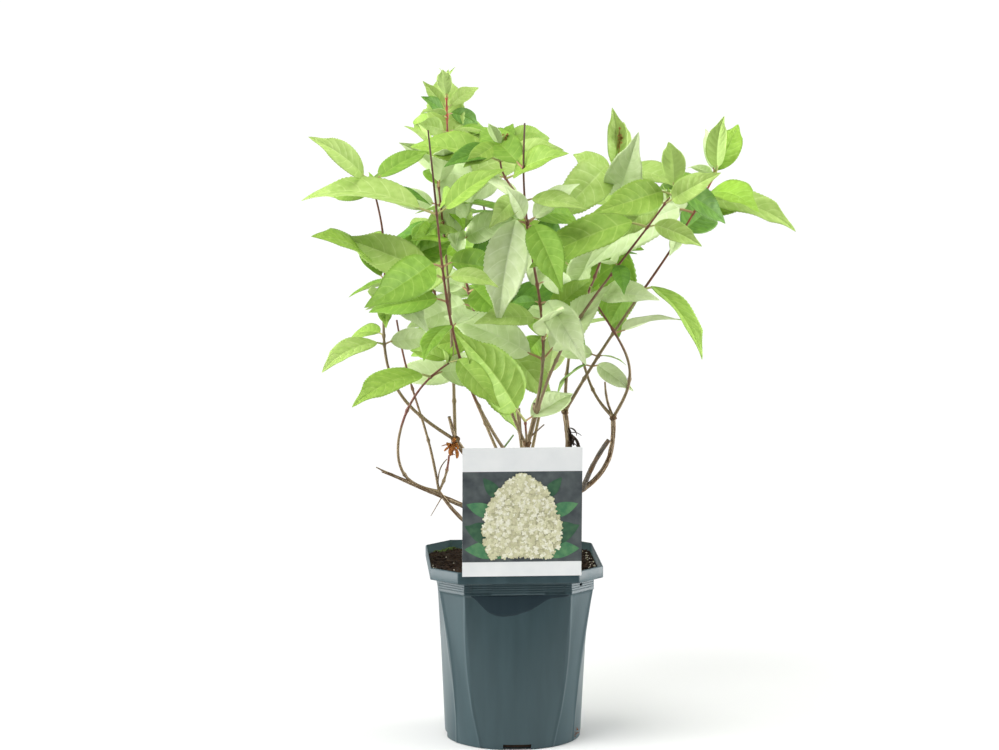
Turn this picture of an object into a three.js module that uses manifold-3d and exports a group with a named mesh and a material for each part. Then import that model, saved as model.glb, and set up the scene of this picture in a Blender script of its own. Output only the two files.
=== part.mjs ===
// Potted panicle hydrangea: a many-stemmed young shrub in leaf, in a square-to-round nursery pot
// with a hanging picture card. Millimetres, +Z up. The origin is the middle of the pot's flat
// underside, and the pot's front flat faces -Y.
import * as THREE from 'three';
import { mergeVertices } from 'three/addons/utils/BufferGeometryUtils.js';
import Module from 'manifold-3d';

const wasm = await Module();
wasm.setup();

// Driving dimensions
const GAP = 0.3; // clearance between neighbouring solids
const PLANT_TURN = -3.6; // degrees, the plant's own front against the pot's front
const SEED = 61;
const SLIVER = 0.02; // edges shorter than this are dropped from a joined solid

const POT = {
  height: 182,
  footAcross: 136, // a circle at the foot
  wallAcross: 150, // across the flats, just under the collar
  wallFlat: 103, // width of one flat there
  collarAcross: 153,
  collarFlat: 105,
  collarBottom: 157.5,
  lipAcross: 170,
  lipFlat: 118,
  lipBottom: 170.5,
  shelfTop: 172,
  wall: 1.5,
  floor: 2,
};
const DRAIN_SLOT = { width: 28, height: 5.6, depth: 16 };
const SOIL_TOP = 174;
const SOIL_BUMP = 1.6;
const SOIL_CLEAR = 1.6; // the soil has shrunk from the pot's wall, below the shelf
const SOIL_RINGS = [0.85, 0.6, 0.32]; // rings of its top, as shares of the rim

const LABEL = { width: 116, height: 128, thick: 0.8, bottom: 178.6, aside: 3, lean: 4 };
const TONGUE = { width: 26, thick: 1 };

// How a leaf is made. Lengths are in millimetres, angles in degrees, and the rest are shares.
const LEAF = {
  petiole: 0.16, // the stalk, of the whole leaf's length
  petioleWidth: 1.8,
  petioleThick: 1.6,
  petioleRise: [20, 60], // least and most climb of the stalk
  width: 0.47, // of the blade's length
  widthSpread: 0.08,
  thick: 0.02, // of the whole leaf's length
  thinnest: 1.2,
  arch: 0.07, // of the blade's length
  fold: 14, // each half's lift from the midrib
  roll: 12, // most turn about the midrib, either way
  frontTilt: 38, // how far a face is turned to the front
  backTilt: -20,
  backFrom: 100, // behind this, leaves turn to the back
  upright: 40, // a leaf that climbs more than this isn't turned
  stations: [0.12, 0.36, 0.66, 1], // cross-sections along the blade
  endWidth: 0.03,
  rounding: 0.65, // the outline's powers towards the stalk and towards the tip
  pointing: 0.95,
};

// Limbs, in the plant's own frame: right, away from the front, up. Each runs from foot to tip
// as a straight line plus a bow (one half wave) and a sway (one whole wave).
const TRUNK = [8, 2, 205];
const LOW_LEFT = [-73, -30, 252];
const LEFT_KNUCKLE = [-57, -20, 302];
const MIDDLE_FORK = [14, -5, 296];
const RIGHT_KNUCKLE = [52, 15, 325];
const OUTER_KNUCKLE = [100, 10, 320];

const OLD_WOOD = {
  woody_crown: { foot: [7, 5, SOIL_TOP - 6], tip: TRUNK, radius: [10, 6.5], flare: 6 },
  old_limb_cut_left: { foot: TRUNK, tip: [-128, -50, 276], bow: [0, 0, -4], radius: [3.6, 2.5] },
  old_limb_low_left: { foot: TRUNK, tip: LOW_LEFT, bow: [-4, -6, -16], radius: [2.2, 1.7] },
  old_limb_left: { foot: TRUNK, tip: LEFT_KNUCKLE, bow: [2, 4, -3], radius: [3.2, 2.8], knob: 4.6 },
  old_limb_middle: { foot: TRUNK, tip: MIDDLE_FORK, bow: [-2, 3, 0], radius: [4, 3.4], knob: 4.4 },
  old_limb_right: { foot: TRUNK, tip: RIGHT_KNUCKLE, bow: [20, 0, -4], radius: [3.2, 2.6], knob: 3.6 },
  old_limb_outer_right: {
    foot: TRUNK, tip: OUTER_KNUCKLE, bow: [12, -6, -24], radius: [3.2, 2.6], knob: 3.6,
  },
  cut_stub_right: { foot: [73, 0, 262], tip: [95, -7, 300], bow: [-2, 0, 1], radius: [2.6, 2.2] },
  cut_stub_left: { foot: LEFT_KNUCKLE, tip: [-63, -24, 326], radius: [1.7, 1.5] },
  budded_stub: { foot: MIDDLE_FORK, tip: [21, -14, 338], bow: [2, 0, 0], radius: [1.8, 1.4] },
  dead_twig_right: { foot: OUTER_KNUCKLE, tip: [92, 22, 354], bow: [-2, 0, 0], radius: [1.4, 1] },
};

// Young canes. bare is the part below the first leaves, as a fraction of the cane.
const CANES = {
  left: { foot: LEFT_KNUCKLE, tip: [-138, -45, 562], bow: [-29, -5, -15], sway: [-13, 0, -7], bare: 0.41 },
  left_inner: { foot: LEFT_KNUCKLE, tip: [-78, 25, 587], bow: [4, 12, 0], bare: 0.66 },
  front_left: {
    foot: [10, -1, 262], tip: [-81, -100, 612], bow: [-26, -14, -6], sway: [-4, 0, -4], bare: 0.42,
  },
  tall: { foot: [13, -3, 293], tip: [-67, 90, 662], bow: [-24, 12, -8], bare: 0.25 },
  middle: { foot: MIDDLE_FORK, tip: [11, -50, 616], bow: [11, -12, 2], sway: [8, 0, 0], bare: 0.21 },
  front_right: {
    foot: [15, -4, 294], tip: [155, -60, 551], bow: [-15, -10, 11], sway: [-3, 0, 2], bare: 0.67,
  },
  back_right: { foot: RIGHT_KNUCKLE, tip: [104, 90, 566], bow: [0, 10, -2], sway: [-7, 0, 1], bare: 0.6 },
  right: { foot: RIGHT_KNUCKLE, tip: [201, 20, 563], bow: [2, 8, 0], sway: [-2, 0, 1], bare: 0.2 },
  bowed_right: { foot: OUTER_KNUCKLE, tip: [78, -10, 443], bow: [23, 0, 3], sway: [4, 0, 0], bare: 0.92 },
  thin_right: { foot: OUTER_KNUCKLE, tip: [48, 70, 412], bow: [-1, 0, -2], sway: [-3, 0, -2], bare: 0.9 },
  low_left: { foot: LOW_LEFT, tip: [-59, -75, 388], bow: [-45, 0, -8], sway: [-4, 0, -11], bare: 0.78 },
  back: { foot: [11, 0, 270], tip: [-33, 130, 538], bow: [4, 14, 0], bare: 0.36 },
  back_left: { foot: [9, 2, 232], tip: [-98, 128, 486], bow: [-6, 16, 0], bare: 0.42 },
  back_right_low: { foot: [10, 2, 244], tip: [66, 160, 470], bow: [0, 22, 0], bare: 0.42 },
};
const BARE_CANES = {
  cane_low_left_bare: { foot: LOW_LEFT, tip: [-115, 0, 419], sway: [2, 0, 0], radius: [1.4, 0.9] },
  cane_low_left_short: { foot: LOW_LEFT, tip: [-63, -28, 288], bow: [2, 0, 0], radius: [1.3, 1] },
};
const CANE_RADIUS = [1.9, 1.0];
const CANE_SPLITS = { low_left: 0.42 }; // a cane that bends round a gap is two nodes

// Side shoots, fused to their cane: where they leave it, and how they run from there
const SIDE_SHOOTS = {
  middle: { at: 0.73, reach: [-24, 36, 60], bow: [-6, 0, -2], sway: [2, 0, 1], radius: [1.2, 0.9] },
};

// Leaf pairs: [height up the shoot, heading, rise, length, rise and length of the opposite leaf,
// and, where the two faces aren't turned to the light as usual, their tilts to the front].
// A heading is in degrees from the right, turning away from the front; length 0 is a lost leaf.
const LEAVES = {
  left: [
    [0.44, 215, -11, 75, -5, 42], [0.47, 135, -2, 55, 0, 0], [0.69, 219, 27, 100, 9, 70],
    [0.76, 112, 4, 62, -2, 50], [0.95, 330, -12, 56, 10, 45, 5], [0.99, 224, 37, 85, 22, 80],
  ],
  left_inner: [
    [0.7, 237, 1, 84, 5, 60], [0.76, 200, -8, 66, 0, 0, 50], [0.8, 150, 8, 62, 0, 0],
    [0.87, 245, 2, 60, 8, 55, 45], [0.92, 130, 48, 75, 0, 0], [0.99, 166, 25, 45, 30, 45],
  ],
  front_left: [
    [0.46, 253, -15, 80, 13, 50, 66], [0.52, 200, -10, 55, 0, 0, 20], [0.59, 350, 2, 50, 0, 0, 5],
    [0.62, 221, -12, 105, 5, 60, 56], [0.78, 194, 9, 134, 12, 60, 5],
  ],
  tall: [
    [0.28, 352, -44, 92, -8, 55], [0.4, 255, -14, 56, 0, 60, 45], [0.44, 286, -13, 75, 5, 70],
    [0.5, 304, 20, 70, 0, 60], [0.56, 345, -6, 66, 4, 60, 55], [0.61, 227, -8, 80, 10, 80, 52],
    [0.65, 284, -15, 60, 10, 45], [0.71, 5, 0, 66, 6, 64, 55, 40], [0.77, 284, -27, 76, 31, 70],
    [0.81, 303, -1, 62, 9, 55, 50], [0.84, 210, 4, 56, 10, 52, 40, 45],
    [0.87, 245, 16, 58, -10, 64, 38, 60], [0.9, 350, 12, 50, 16, 46, 50], [0.92, 314, 21, 50, 22, 46],
    [0.94, 253, 57, 32, 56, 32],
  ],
  middle: [
    [0.24, 209, 31, 95, 0, 0], [0.32, 108, -30, 50, 0, 0], [0.39, 217, 2, 70, 0, 0],
    [0.45, 118, -12, 60, 0, 0], [0.5, 10, -12, 58, -6, 56, 30], [0.6, 53, -34, 60, 0, 0],
    [0.67, 295, -39, 85, 0, 0, 52], [0.68, 66, -20, 80, 0, 0, 55], [0.69, 195, -71, 100, 0, 0, 75],
    [0.71, 39, -7, 95, 0, 0, 62], [0.76, 160, -4, 62, 0, 56, 50],
  ],
  front_right: [
    [0.72, 302, -22, 40, 0, 45, 5], [0.85, 220, -23, 120, -10, 60, 5], [0.94, 136, -31, 70, 0, 0],
    [0.97, 212, -7, 85, -40, 65, 10], [1, 253, 57, 62, 40, 50],
  ],
  back_right: [
    [0.64, 50, -62, 85, 0, 0], [0.66, 141, -37, 70, -20, 50], [0.82, 110, 0, 80, 0, 0],
    [0.97, 133, 10, 60, 0, 0], [0.99, 217, -24, 110, -20, 60, 34], [1, 257, 66, 60, 37, 50],
  ],
  right: [
    [0.23, 352, -17, 42, 0, 0], [0.33, 318, 13, 75, 0, 0, 5], [0.51, 316, -32, 95, 0, 0, -15],
    [0.72, 70, 0, 60, 0, 0], [0.84, 30, -12, 70, 0, 0, 60], [0.88, 325, -8, 104, 25, 50, 10],
    [0.92, 305, 8, 72, 5, 60, 20], [0.99, 47, 51, 60, 33, 45], [1, 282, 66, 62, 56, 58],
  ],
  bowed_right: [[0.96, 214, -19, 60, 28, 35], [1, 321, 3, 75, 18, 45, 10]],
  thin_right: [[1, 345, -42, 50, 10, 50]],
  low_left: [[0.83, 215, -16, 85, 0, 0], [0.95, 294, -8, 45, 10, 45]],
  back: [
    [0.4, 100, -10, 70, 0, 0], [0.52, 350, 5, 42, 0, 60], [0.6, 115, -5, 85, 0, 90],
    [0.78, 50, 8, 90, 0, 0], [0.88, 130, 10, 80, 0, 0], [0.97, 115, 22, 60, 33, 50],
  ],
  back_left: [
    [0.46, 190, -10, 80, 0, 0], [0.62, 100, 0, 90, 0, 0], [0.7, 160, 0, 80, 0, 0],
    [0.8, 195, 5, 90, 0, 0], [0.9, 80, 10, 70, 0, 0], [0.98, 110, 25, 75, 20, 60],
  ],
  back_right_low: [
    [0.46, 100, -8, 85, 0, 0], [0.64, 15, 0, 90, 0, 0], [0.75, 70, 0, 80, 0, 0],
    [0.82, 105, 8, 85, 0, 0], [0.92, 350, 10, 70, 0, 0], [0.98, 25, 22, 75, 22, 65],
  ],
};
const SIDE_LEAVES = {
  middle: [
    [0.1, 218, -28, 75, 0, 0], [0.54, 317, 20, 85, -23, 50], [0.8, 350, 12, 58, 0, 0, 45],
    [0.9, 200, 6, 50, 8, 48, 45], [0.98, 40, 5, 65, 10, 50, 50], [1, 266, 43, 35, 40, 30],
  ],
};
// One leafy twig springs low from the middle fork, in front.
const LOW_SHOOT = { foot: MIDDLE_FORK, tip: [12, -24, 322], bow: [0, -3, 0], radius: [1.4, 1] };
const LOW_SHOOT_LEAVES = [[0.9, 227, 54, 112, 0, 0, 75]];

// Colours and finishes
const finish = (color, roughness, metalness = 0) => ({ color, roughness, metalness });
const POT_PLASTIC = finish(0x4a5c60, 0.42);
const SOIL = finish(0x1c1712, 0.95);
const CARD = finish(0xe9ebea, 0.5);
const OLD_BARK = finish(0x8a755c, 0.85);
const CANE_BARK = finish(0x8c7350, 0.7);
const FOLIAGE = finish(0x7db24a, 0.55);

// Small helpers
let seed = SEED;
function random() {
  seed = (seed * 1664525 + 1013904223) % 4294967296;
  return seed / 4294967296;
}
const spread = (amount) => (2 * random() - 1) * amount;
const radians = THREE.MathUtils.degToRad;

function vector(numbers = [0, 0, 0]) {
  return new THREE.Vector3(...numbers);
}

function direction(heading, rise) {
  const level = Math.cos(radians(rise));
  return new THREE.Vector3(
    level * Math.cos(radians(heading)),
    level * Math.sin(radians(heading)),
    Math.sin(radians(rise)),
  );
}

// A closed body through rings of points that all have the same count. Each ring turns
// anticlockwise about the way to the next one.
function loft(rings) {
  const count = rings[0].length;
  const positions = rings.flat().flatMap((point) => point.toArray());
  const faces = [];
  for (let ring = 0; ring + 1 < rings.length; ring += 1) {
    for (let side = 0; side < count; side += 1) {
      const a = ring * count + side;
      const b = ring * count + ((side + 1) % count);
      faces.push(a, b, b + count, a, b + count, a + count);
    }
  }
  const last = (rings.length - 1) * count;
  for (let side = 1; side + 1 < count; side += 1) {
    faces.push(0, side + 1, side);
    faces.push(last, last + side, last + side + 1);
  }
  const geometry = new THREE.BufferGeometry();
  geometry.setAttribute('position', new THREE.Float32BufferAttribute(positions, 3));
  geometry.setIndex(faces);
  return geometry;
}

function toSolid(geometry) {
  const bare = geometry.clone();
  bare.deleteAttribute('normal');
  bare.deleteAttribute('uv');
  const merged = mergeVertices(bare);
  const vertProperties = new Float32Array(merged.attributes.position.array);
  const triVerts = new Uint32Array(merged.index.array);
  return new wasm.Manifold(new wasm.Mesh({ numProp: 3, vertProperties, triVerts }));
}

function largestPiece(solid) {
  const pieces = solid.decompose();
  return pieces.reduce((best, piece) => (piece.volume() > best.volume() ? piece : best));
}

// The surface of a solid's largest piece, so that no loose scrap or sealed hollow is left
function toGeometry(solid) {
  const { vertProperties, triVerts } = largestPiece(solid.simplify(SLIVER)).getMesh();
  const geometry = new THREE.BufferGeometry();
  geometry.setAttribute('position', new THREE.BufferAttribute(vertProperties, 3));
  geometry.setIndex(new THREE.BufferAttribute(triVerts, 1));
  geometry.computeVertexNormals();
  return geometry;
}

function namedMesh(name, geometry, look) {
  const mesh = new THREE.Mesh(geometry, new THREE.MeshStandardMaterial(look));
  mesh.name = name;
  return mesh;
}

function box(size, centre) {
  return new THREE.BoxGeometry(...size).translate(...centre);
}

// Pot and soil: rings that go from a square with cut corners to a circle
const QUARTER = [0, 11.5, 23, 34.5, 45, 55.5, 67, 78.5];
const WALL_STEPS = 3;
const RING_ANGLES = [0, 90, 180, 270].flatMap((corner) => QUARTER.map((angle) => corner + angle));

function potRing(height, across, flat, round = 0) {
  const toFlat = across / 2;
  const toCorner = (across + flat) / 2 / Math.SQRT2;
  return RING_ANGLES.map((angle) => {
    const turn = radians(angle % 90);
    const fromFlat = Math.min(turn, Math.PI / 2 - turn);
    const straight = Math.min(toFlat / Math.cos(fromFlat), toCorner / Math.cos(turn - Math.PI / 4));
    const radius = THREE.MathUtils.lerp(straight, toFlat, round);
    const around = radians(angle);
    return new THREE.Vector3(radius * Math.cos(around), radius * Math.sin(around), height);
  });
}

// The wall from its round foot to the cut corners under the collar, moved in by some amount
function wallRings(inwards, bottom) {
  return Array.from({ length: WALL_STEPS + 1 }, (_, step) => {
    const part = step / WALL_STEPS;
    const across = THREE.MathUtils.lerp(POT.footAcross, POT.wallAcross, part);
    const height = THREE.MathUtils.lerp(bottom, POT.collarBottom, part);
    return potRing(height, across - 2 * inwards, POT.wallFlat - inwards, 1 - part);
  });
}

function makePot() {
  const { wall } = POT;
  const body = toSolid(loft([
    ...wallRings(0, 0),
    potRing(POT.collarBottom, POT.collarAcross, POT.collarFlat),
    potRing(POT.lipBottom, POT.collarAcross, POT.collarFlat),
    potRing(POT.lipBottom, POT.lipAcross, POT.lipFlat),
    potRing(POT.height, POT.lipAcross, POT.lipFlat),
    potRing(POT.height, POT.lipAcross - 2 * wall, POT.lipFlat - wall),
    potRing(POT.shelfTop, POT.lipAcross - 2 * wall, POT.lipFlat - wall),
    potRing(POT.shelfTop, POT.collarAcross - 2 * wall, POT.collarFlat - wall),
    ...wallRings(wall, POT.floor).reverse(),
  ]));
  const slotMiddle = POT.footAcross / 2;
  const slot = toSolid(box(
    [DRAIN_SLOT.width, DRAIN_SLOT.depth, 2 * DRAIN_SLOT.height],
    [0, -slotMiddle, 0],
  ));
  const slots = [0, 90, 180, 270].map((turn) => slot.rotate([0, 0, turn]));
  return slots.reduce((pot, cut) => pot.subtract(cut), body);
}

function makeSoil() {
  const shrunk = POT.wall + SOIL_CLEAR;
  const rimGap = POT.wall + GAP;
  const rim = [POT.lipAcross - 2 * rimGap, POT.lipFlat - rimGap];
  const [outer, middle, inner] = SOIL_RINGS;
  const bumpy = (share) => {
    const ring = potRing(SOIL_TOP, rim[0] * share, rim[1] * share);
    ring.forEach((point) => point.setZ(SOIL_TOP + spread(SOIL_BUMP)));
    return ring;
  };
  return loft([
    ...wallRings(shrunk, POT.floor + GAP),
    potRing(POT.shelfTop + GAP, POT.collarAcross - 2 * shrunk, POT.collarFlat - shrunk),
    potRing(POT.shelfTop + GAP, ...rim),
    potRing(SOIL_TOP - 1, ...rim),
    bumpy(outer),
    bumpy(middle),
    potRing(SOIL_TOP, rim[0] * inner, rim[1] * inner),
  ]);
}

// The picture card hangs outside the rim by a tongue that goes over it and down inside.
function makeLabel() {
  const front = -(POT.lipAcross / 2 + GAP + LABEL.thick / 2);
  const inner = -(POT.lipAcross / 2 - POT.wall - GAP);
  const tongueInner = inner + TONGUE.thick;
  const bridgeBottom = POT.height + GAP;
  const bridgeTop = bridgeBottom + TONGUE.thick;
  const tongueBottom = SOIL_TOP + SOIL_BUMP + GAP;
  const card = new THREE.BoxGeometry(LABEL.width, LABEL.thick, LABEL.height);
  card.translate(0, 0, LABEL.height / 2);
  card.rotateX(radians(LABEL.lean));
  card.translate(LABEL.aside, front, LABEL.bottom);
  const bridge = box(
    [TONGUE.width, tongueInner - front + LABEL.thick / 2, TONGUE.thick],
    [LABEL.aside, (tongueInner + front - LABEL.thick / 2) / 2, (bridgeBottom + bridgeTop) / 2],
  );
  const tongue = box(
    [TONGUE.width, TONGUE.thick, bridgeTop - tongueBottom],
    [LABEL.aside, inner + TONGUE.thick / 2, (bridgeTop + tongueBottom) / 2],
  );
  return toSolid(card).add(toSolid(bridge)).add(toSolid(tongue));
}

// A limb's middle line, as a function of the way up it from 0 to 1
function limbPath({ foot, tip, bow, sway }) {
  const start = vector(foot);
  const end = vector(tip);
  const halfWave = vector(bow);
  const wholeWave = vector(sway);
  return (part) => start.clone().lerp(end, part)
    .addScaledVector(halfWave, Math.sin(Math.PI * part))
    .addScaledVector(wholeWave, Math.sin(2 * Math.PI * part));
}

// A tapered tube along a middle line, from one part of it to another
const TUBE_STEP = 34;
const SIDES = { crown: 10, oldWood: 7, cane: 6, shoot: 5 };
function tube(path, from, to, radiusAt, sides) {
  const length = path(from).distanceTo(path(to));
  const steps = Math.max(2, Math.round(length / TUBE_STEP));
  const along = path(to).sub(path(from)).normalize();
  const steep = Math.abs(along.z) > 0.5;
  const reference = steep ? vector([0, 1, 0]) : vector([0, 0, 1]);
  const rings = [];
  for (let step = 0; step <= steps; step += 1) {
    const part = from + ((to - from) * step) / steps;
    const way = path(part + 0.01).sub(path(part - 0.01)).normalize();
    const first = reference.clone().addScaledVector(way, -reference.dot(way)).normalize();
    const second = way.clone().cross(first);
    const radius = radiusAt(part);
    rings.push(Array.from({ length: sides }, (_, side) => {
      const turn = (2 * Math.PI * side) / sides;
      return path(part)
        .addScaledVector(first, radius * Math.cos(turn))
        .addScaledVector(second, radius * Math.sin(turn));
    }));
  }
  return toSolid(loft(rings));
}

const taper = ([foot, tip]) => (part) => THREE.MathUtils.lerp(foot, tip, part);

// Limbs are cut level just above the soil, and 0.3 mm clear of every limb made before them.
const CUT_DEPTH = 20;
const belowGround = toSolid(box([200, 200, CUT_DEPTH], [0, 0, SOIL_TOP + GAP - CUT_DEPTH / 2]));
const limbs = [];
function addLimb(name, path, from, to, radiusAt, sides, extra = null) {
  let solid = tube(path, from, to, radiusAt, sides);
  let fat = tube(path, from, to, (part) => radiusAt(part) + GAP, sides);
  if (extra) {
    solid = solid.add(extra(0));
    fat = fat.add(extra(GAP));
  }
  solid = solid.subtract(belowGround);
  for (const other of limbs) {
    solid = solid.subtract(other.fat);
  }
  limbs.push({ name, solid: largestPiece(solid), fat });
}

function knobAt(point, radius) {
  return (more) => {
    const ball = new THREE.IcosahedronGeometry(radius + more, 1);
    return toSolid(ball.translate(...point));
  };
}

function makeOldWood() {
  for (const [name, limb] of Object.entries(OLD_WOOD)) {
    const plain = taper(limb.radius);
    const flared = (part) => plain(part) + (limb.flare ?? 0) * (1 - part) ** 3;
    const knob = limb.knob ? knobAt(limb.tip, limb.knob) : null;
    const sides = limb.flare ? SIDES.crown : SIDES.oldWood;
    addLimb(name, limbPath(limb), 0, 1, flared, sides, knob);
  }
}

function makeCanes() {
  for (const [name, cane] of Object.entries(CANES)) {
    const path = limbPath(cane);
    const radiusAt = taper(CANE_RADIUS);
    const split = CANE_SPLITS[name];
    if (split) {
      addLimb(`cane_${name}_lower`, path, 0, split, radiusAt, SIDES.cane);
      addLimb(`cane_${name}_upper`, path, split, cane.bare, radiusAt, SIDES.cane);
    } else {
      addLimb(`cane_${name}`, path, 0, cane.bare, radiusAt, SIDES.cane);
    }
  }
  for (const [name, cane] of Object.entries(BARE_CANES)) {
    addLimb(name, limbPath(cane), 0, 1, taper(cane.radius), SIDES.cane);
  }
}

// One leaf: a short stalk that widens into a folded, arched, pointed blade
const widest = LEAF.rounding / (LEAF.rounding + LEAF.pointing);
function outline(part) {
  return (part / widest) ** LEAF.rounding * ((1 - part) / (1 - widest)) ** LEAF.pointing;
}

function leafRing(middle, up, side, halfWidth, lift, halfThick) {
  const point = (aside, above) => middle.clone().addScaledVector(side, aside).addScaledVector(up, above);
  return [point(0, halfThick), point(halfWidth, lift), point(0, -halfThick), point(-halfWidth, lift)];
}

function makeLeaf(node, heading, rise, length, tilt) {
  const stalkWay = direction(heading, THREE.MathUtils.clamp(rise, ...LEAF.petioleRise));
  const base = node.clone().addScaledVector(stalkWay, LEAF.petiole * length);
  const axis = node.clone().addScaledVector(direction(heading, rise), length).sub(base);
  const bladeLength = axis.length();
  axis.normalize();
  const outTilt = node.y < LEAF.backFrom ? LEAF.frontTilt : LEAF.backTilt;
  const usualTilt = rise > LEAF.upright ? 0 : outTilt;
  const faced = direction(-90, 90 - (tilt ?? usualTilt));
  const up = faced.addScaledVector(axis, -faced.dot(axis)).normalize();
  up.applyAxisAngle(axis, radians(spread(LEAF.roll)));
  const side = axis.clone().cross(up);
  const width = LEAF.width * bladeLength * (1 + spread(LEAF.widthSpread));
  const halfThick = Math.max(LEAF.thick * length, LEAF.thinnest) / 2;
  const stalk = (middle) => leafRing(
    middle, up, side, LEAF.petioleWidth / 2, 0, LEAF.petioleThick / 2,
  );
  const blade = LEAF.stations.map((part) => {
    const arch = 4 * LEAF.arch * bladeLength * part * (1 - part);
    const middle = base.clone().addScaledVector(axis, part * bladeLength).addScaledVector(up, arch);
    const halfWidth = (width / 2) * Math.max(outline(part), LEAF.endWidth);
    return leafRing(middle, up, side, halfWidth, halfWidth * Math.tan(radians(LEAF.fold)), halfThick);
  });
  return toSolid(loft([stalk(node), stalk(base), ...blade]));
}

// A mass is the leafy top of a cane: its stem with every leaf fused on. A leaf that would come
// closer than the gap to a limb or to another mass is left out.
const masses = [];
const skipped = [];

const REACH = 1; // how far round a leaf its neighbours are looked for
function nearby(one, other) {
  const a = one.boundingBox();
  const b = other.boundingBox();
  return [0, 1, 2].every((axis) => (
    a.min[axis] < b.max[axis] + REACH && b.min[axis] < a.max[axis] + REACH
  ));
}

function blockedBy(leaf, mass) {
  const others = [...limbs, ...masses].filter((other) => other !== mass);
  return others.find(({ solid }) => nearby(leaf, solid) && leaf.minGap(solid, REACH) < GAP);
}

function addLeaves(mass, path, rows) {
  for (const [at, heading, rise, length, otherRise, otherLength, tilt, otherTilt] of rows) {
    const pair = [
      [heading, rise, length, tilt],
      [heading + 180, otherRise, otherLength, otherTilt],
    ];
    for (const [towards, climb, long, faceTilt] of pair.filter((leaf) => leaf[2] > 0)) {
      const leaf = makeLeaf(path(at), towards, climb, long, faceTilt);
      const blocker = blockedBy(leaf, mass);
      if (blocker) {
        skipped.push(`${mass.name} ${at} ${towards}: ${blocker.name}`);
      } else {
        mass.solid = mass.solid.add(leaf);
      }
    }
  }
}

// A side shoot springs from its cane and is fused to it.
function sideShoot(path, { at, reach, bow, sway }) {
  const foot = path(at);
  const tip = foot.clone().add(vector(reach));
  return limbPath({ foot: foot.toArray(), tip: tip.toArray(), bow, sway });
}

function makeMasses() {
  for (const [name, cane] of Object.entries(CANES)) {
    const path = limbPath(cane);
    const start = cane.bare + (2 * GAP) / path(0).distanceTo(path(1));
    const mass = { name: `foliage_${name}`, shoots: [[path, LEAVES[name]]] };
    mass.solid = tube(path, start, 1, taper(CANE_RADIUS), SIDES.shoot);
    if (SIDE_SHOOTS[name]) {
      const sidePath = sideShoot(path, SIDE_SHOOTS[name]);
      const sideStem = tube(sidePath, 0, 1, taper(SIDE_SHOOTS[name].radius), SIDES.shoot);
      mass.solid = mass.solid.add(sideStem);
      mass.shoots.push([sidePath, SIDE_LEAVES[name]]);
    }
    masses.push(mass);
  }
  const lowPath = limbPath(LOW_SHOOT);
  const lowStem = tube(lowPath, 0, 1, taper(LOW_SHOOT.radius), SIDES.shoot);
  masses.push({
    name: 'foliage_low_front',
    solid: limbs.reduce((stem, limb) => stem.subtract(limb.fat), lowStem),
    shoots: [[lowPath, LOW_SHOOT_LEAVES]],
  });
  for (const mass of masses) {
    mass.shoots.forEach(([path, rows]) => addLeaves(mass, path, rows));
  }
}

makeOldWood();
makeCanes();
makeMasses();

const group = new THREE.Group();
group.add(namedMesh('pot', toGeometry(makePot()), POT_PLASTIC));
group.add(namedMesh('potting_soil', makeSoil(), SOIL));
group.add(namedMesh('picture_label', toGeometry(makeLabel()), CARD));

const plant = new THREE.Group();
plant.rotation.z = radians(PLANT_TURN);
for (const { name, solid } of limbs) {
  const look = name.startsWith('cane') ? CANE_BARK : OLD_BARK;
  plant.add(namedMesh(name, toGeometry(solid), look));
}
for (const { name, solid } of masses) {
  plant.add(namedMesh(name, toGeometry(solid), FOLIAGE));
}
group.add(plant);
group.userData.skipped = skipped;

export default group;
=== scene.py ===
# %% [markdown]
# Potted panicle hydrangea
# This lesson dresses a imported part: a young panicle hydrangea in leaf, in a slate-coloured nursery pot
# with a picture card hung over its rim. The solids already say where everything is and how far it
# reaches. Blender adds what the eye looks for: bark, veins, toothed leaf edges, potting mix and
# moulded plastic. Lengths in the tables are millimetres; the scene itself is in metres.

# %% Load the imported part
import math

import bpy
import numpy as np
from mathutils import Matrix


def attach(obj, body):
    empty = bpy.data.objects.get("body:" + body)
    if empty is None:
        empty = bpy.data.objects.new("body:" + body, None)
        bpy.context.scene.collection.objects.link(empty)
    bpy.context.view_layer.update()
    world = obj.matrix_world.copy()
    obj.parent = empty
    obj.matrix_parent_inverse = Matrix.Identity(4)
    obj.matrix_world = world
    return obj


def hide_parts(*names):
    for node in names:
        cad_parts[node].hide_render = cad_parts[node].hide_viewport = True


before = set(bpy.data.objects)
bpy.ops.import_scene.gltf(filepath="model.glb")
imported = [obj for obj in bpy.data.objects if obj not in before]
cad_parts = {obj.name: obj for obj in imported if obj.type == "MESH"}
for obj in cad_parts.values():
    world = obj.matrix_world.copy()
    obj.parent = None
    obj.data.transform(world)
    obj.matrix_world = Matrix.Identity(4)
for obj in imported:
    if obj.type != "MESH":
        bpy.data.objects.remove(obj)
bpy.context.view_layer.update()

# %% [markdown]
# Camera
# The picture was taken with a long lens from three metres away and a little above the leaves. A
# camera could be aimed by hand, but its place was worked out from the straight edges of the pot and
# the card, so the numbers are set here as they came. The plant was standing a few degrees turned
# against the pot's front, so its own frame is turned by the same angle about the upright axis.

# %% Camera
MM = 0.001
PLANT_TURN = math.radians(-3.6)
PHOTO_WIDTH = 999
FOCAL_PIXELS = 3055
SENSOR = 36
CAMERA_AT = (-13.3, -3000, 775)
CAMERA_DOWN = 7.8


def to_row(points):
    """Millimetres in the plant's own frame, to metres in the part's frame."""
    points = np.asarray(points, float)
    cos, sin = math.cos(PLANT_TURN), math.sin(PLANT_TURN)
    x, y, z = points[..., 0], points[..., 1], points[..., 2]
    return np.stack([cos * x - sin * y, sin * x + cos * y, z], -1) * MM


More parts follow.
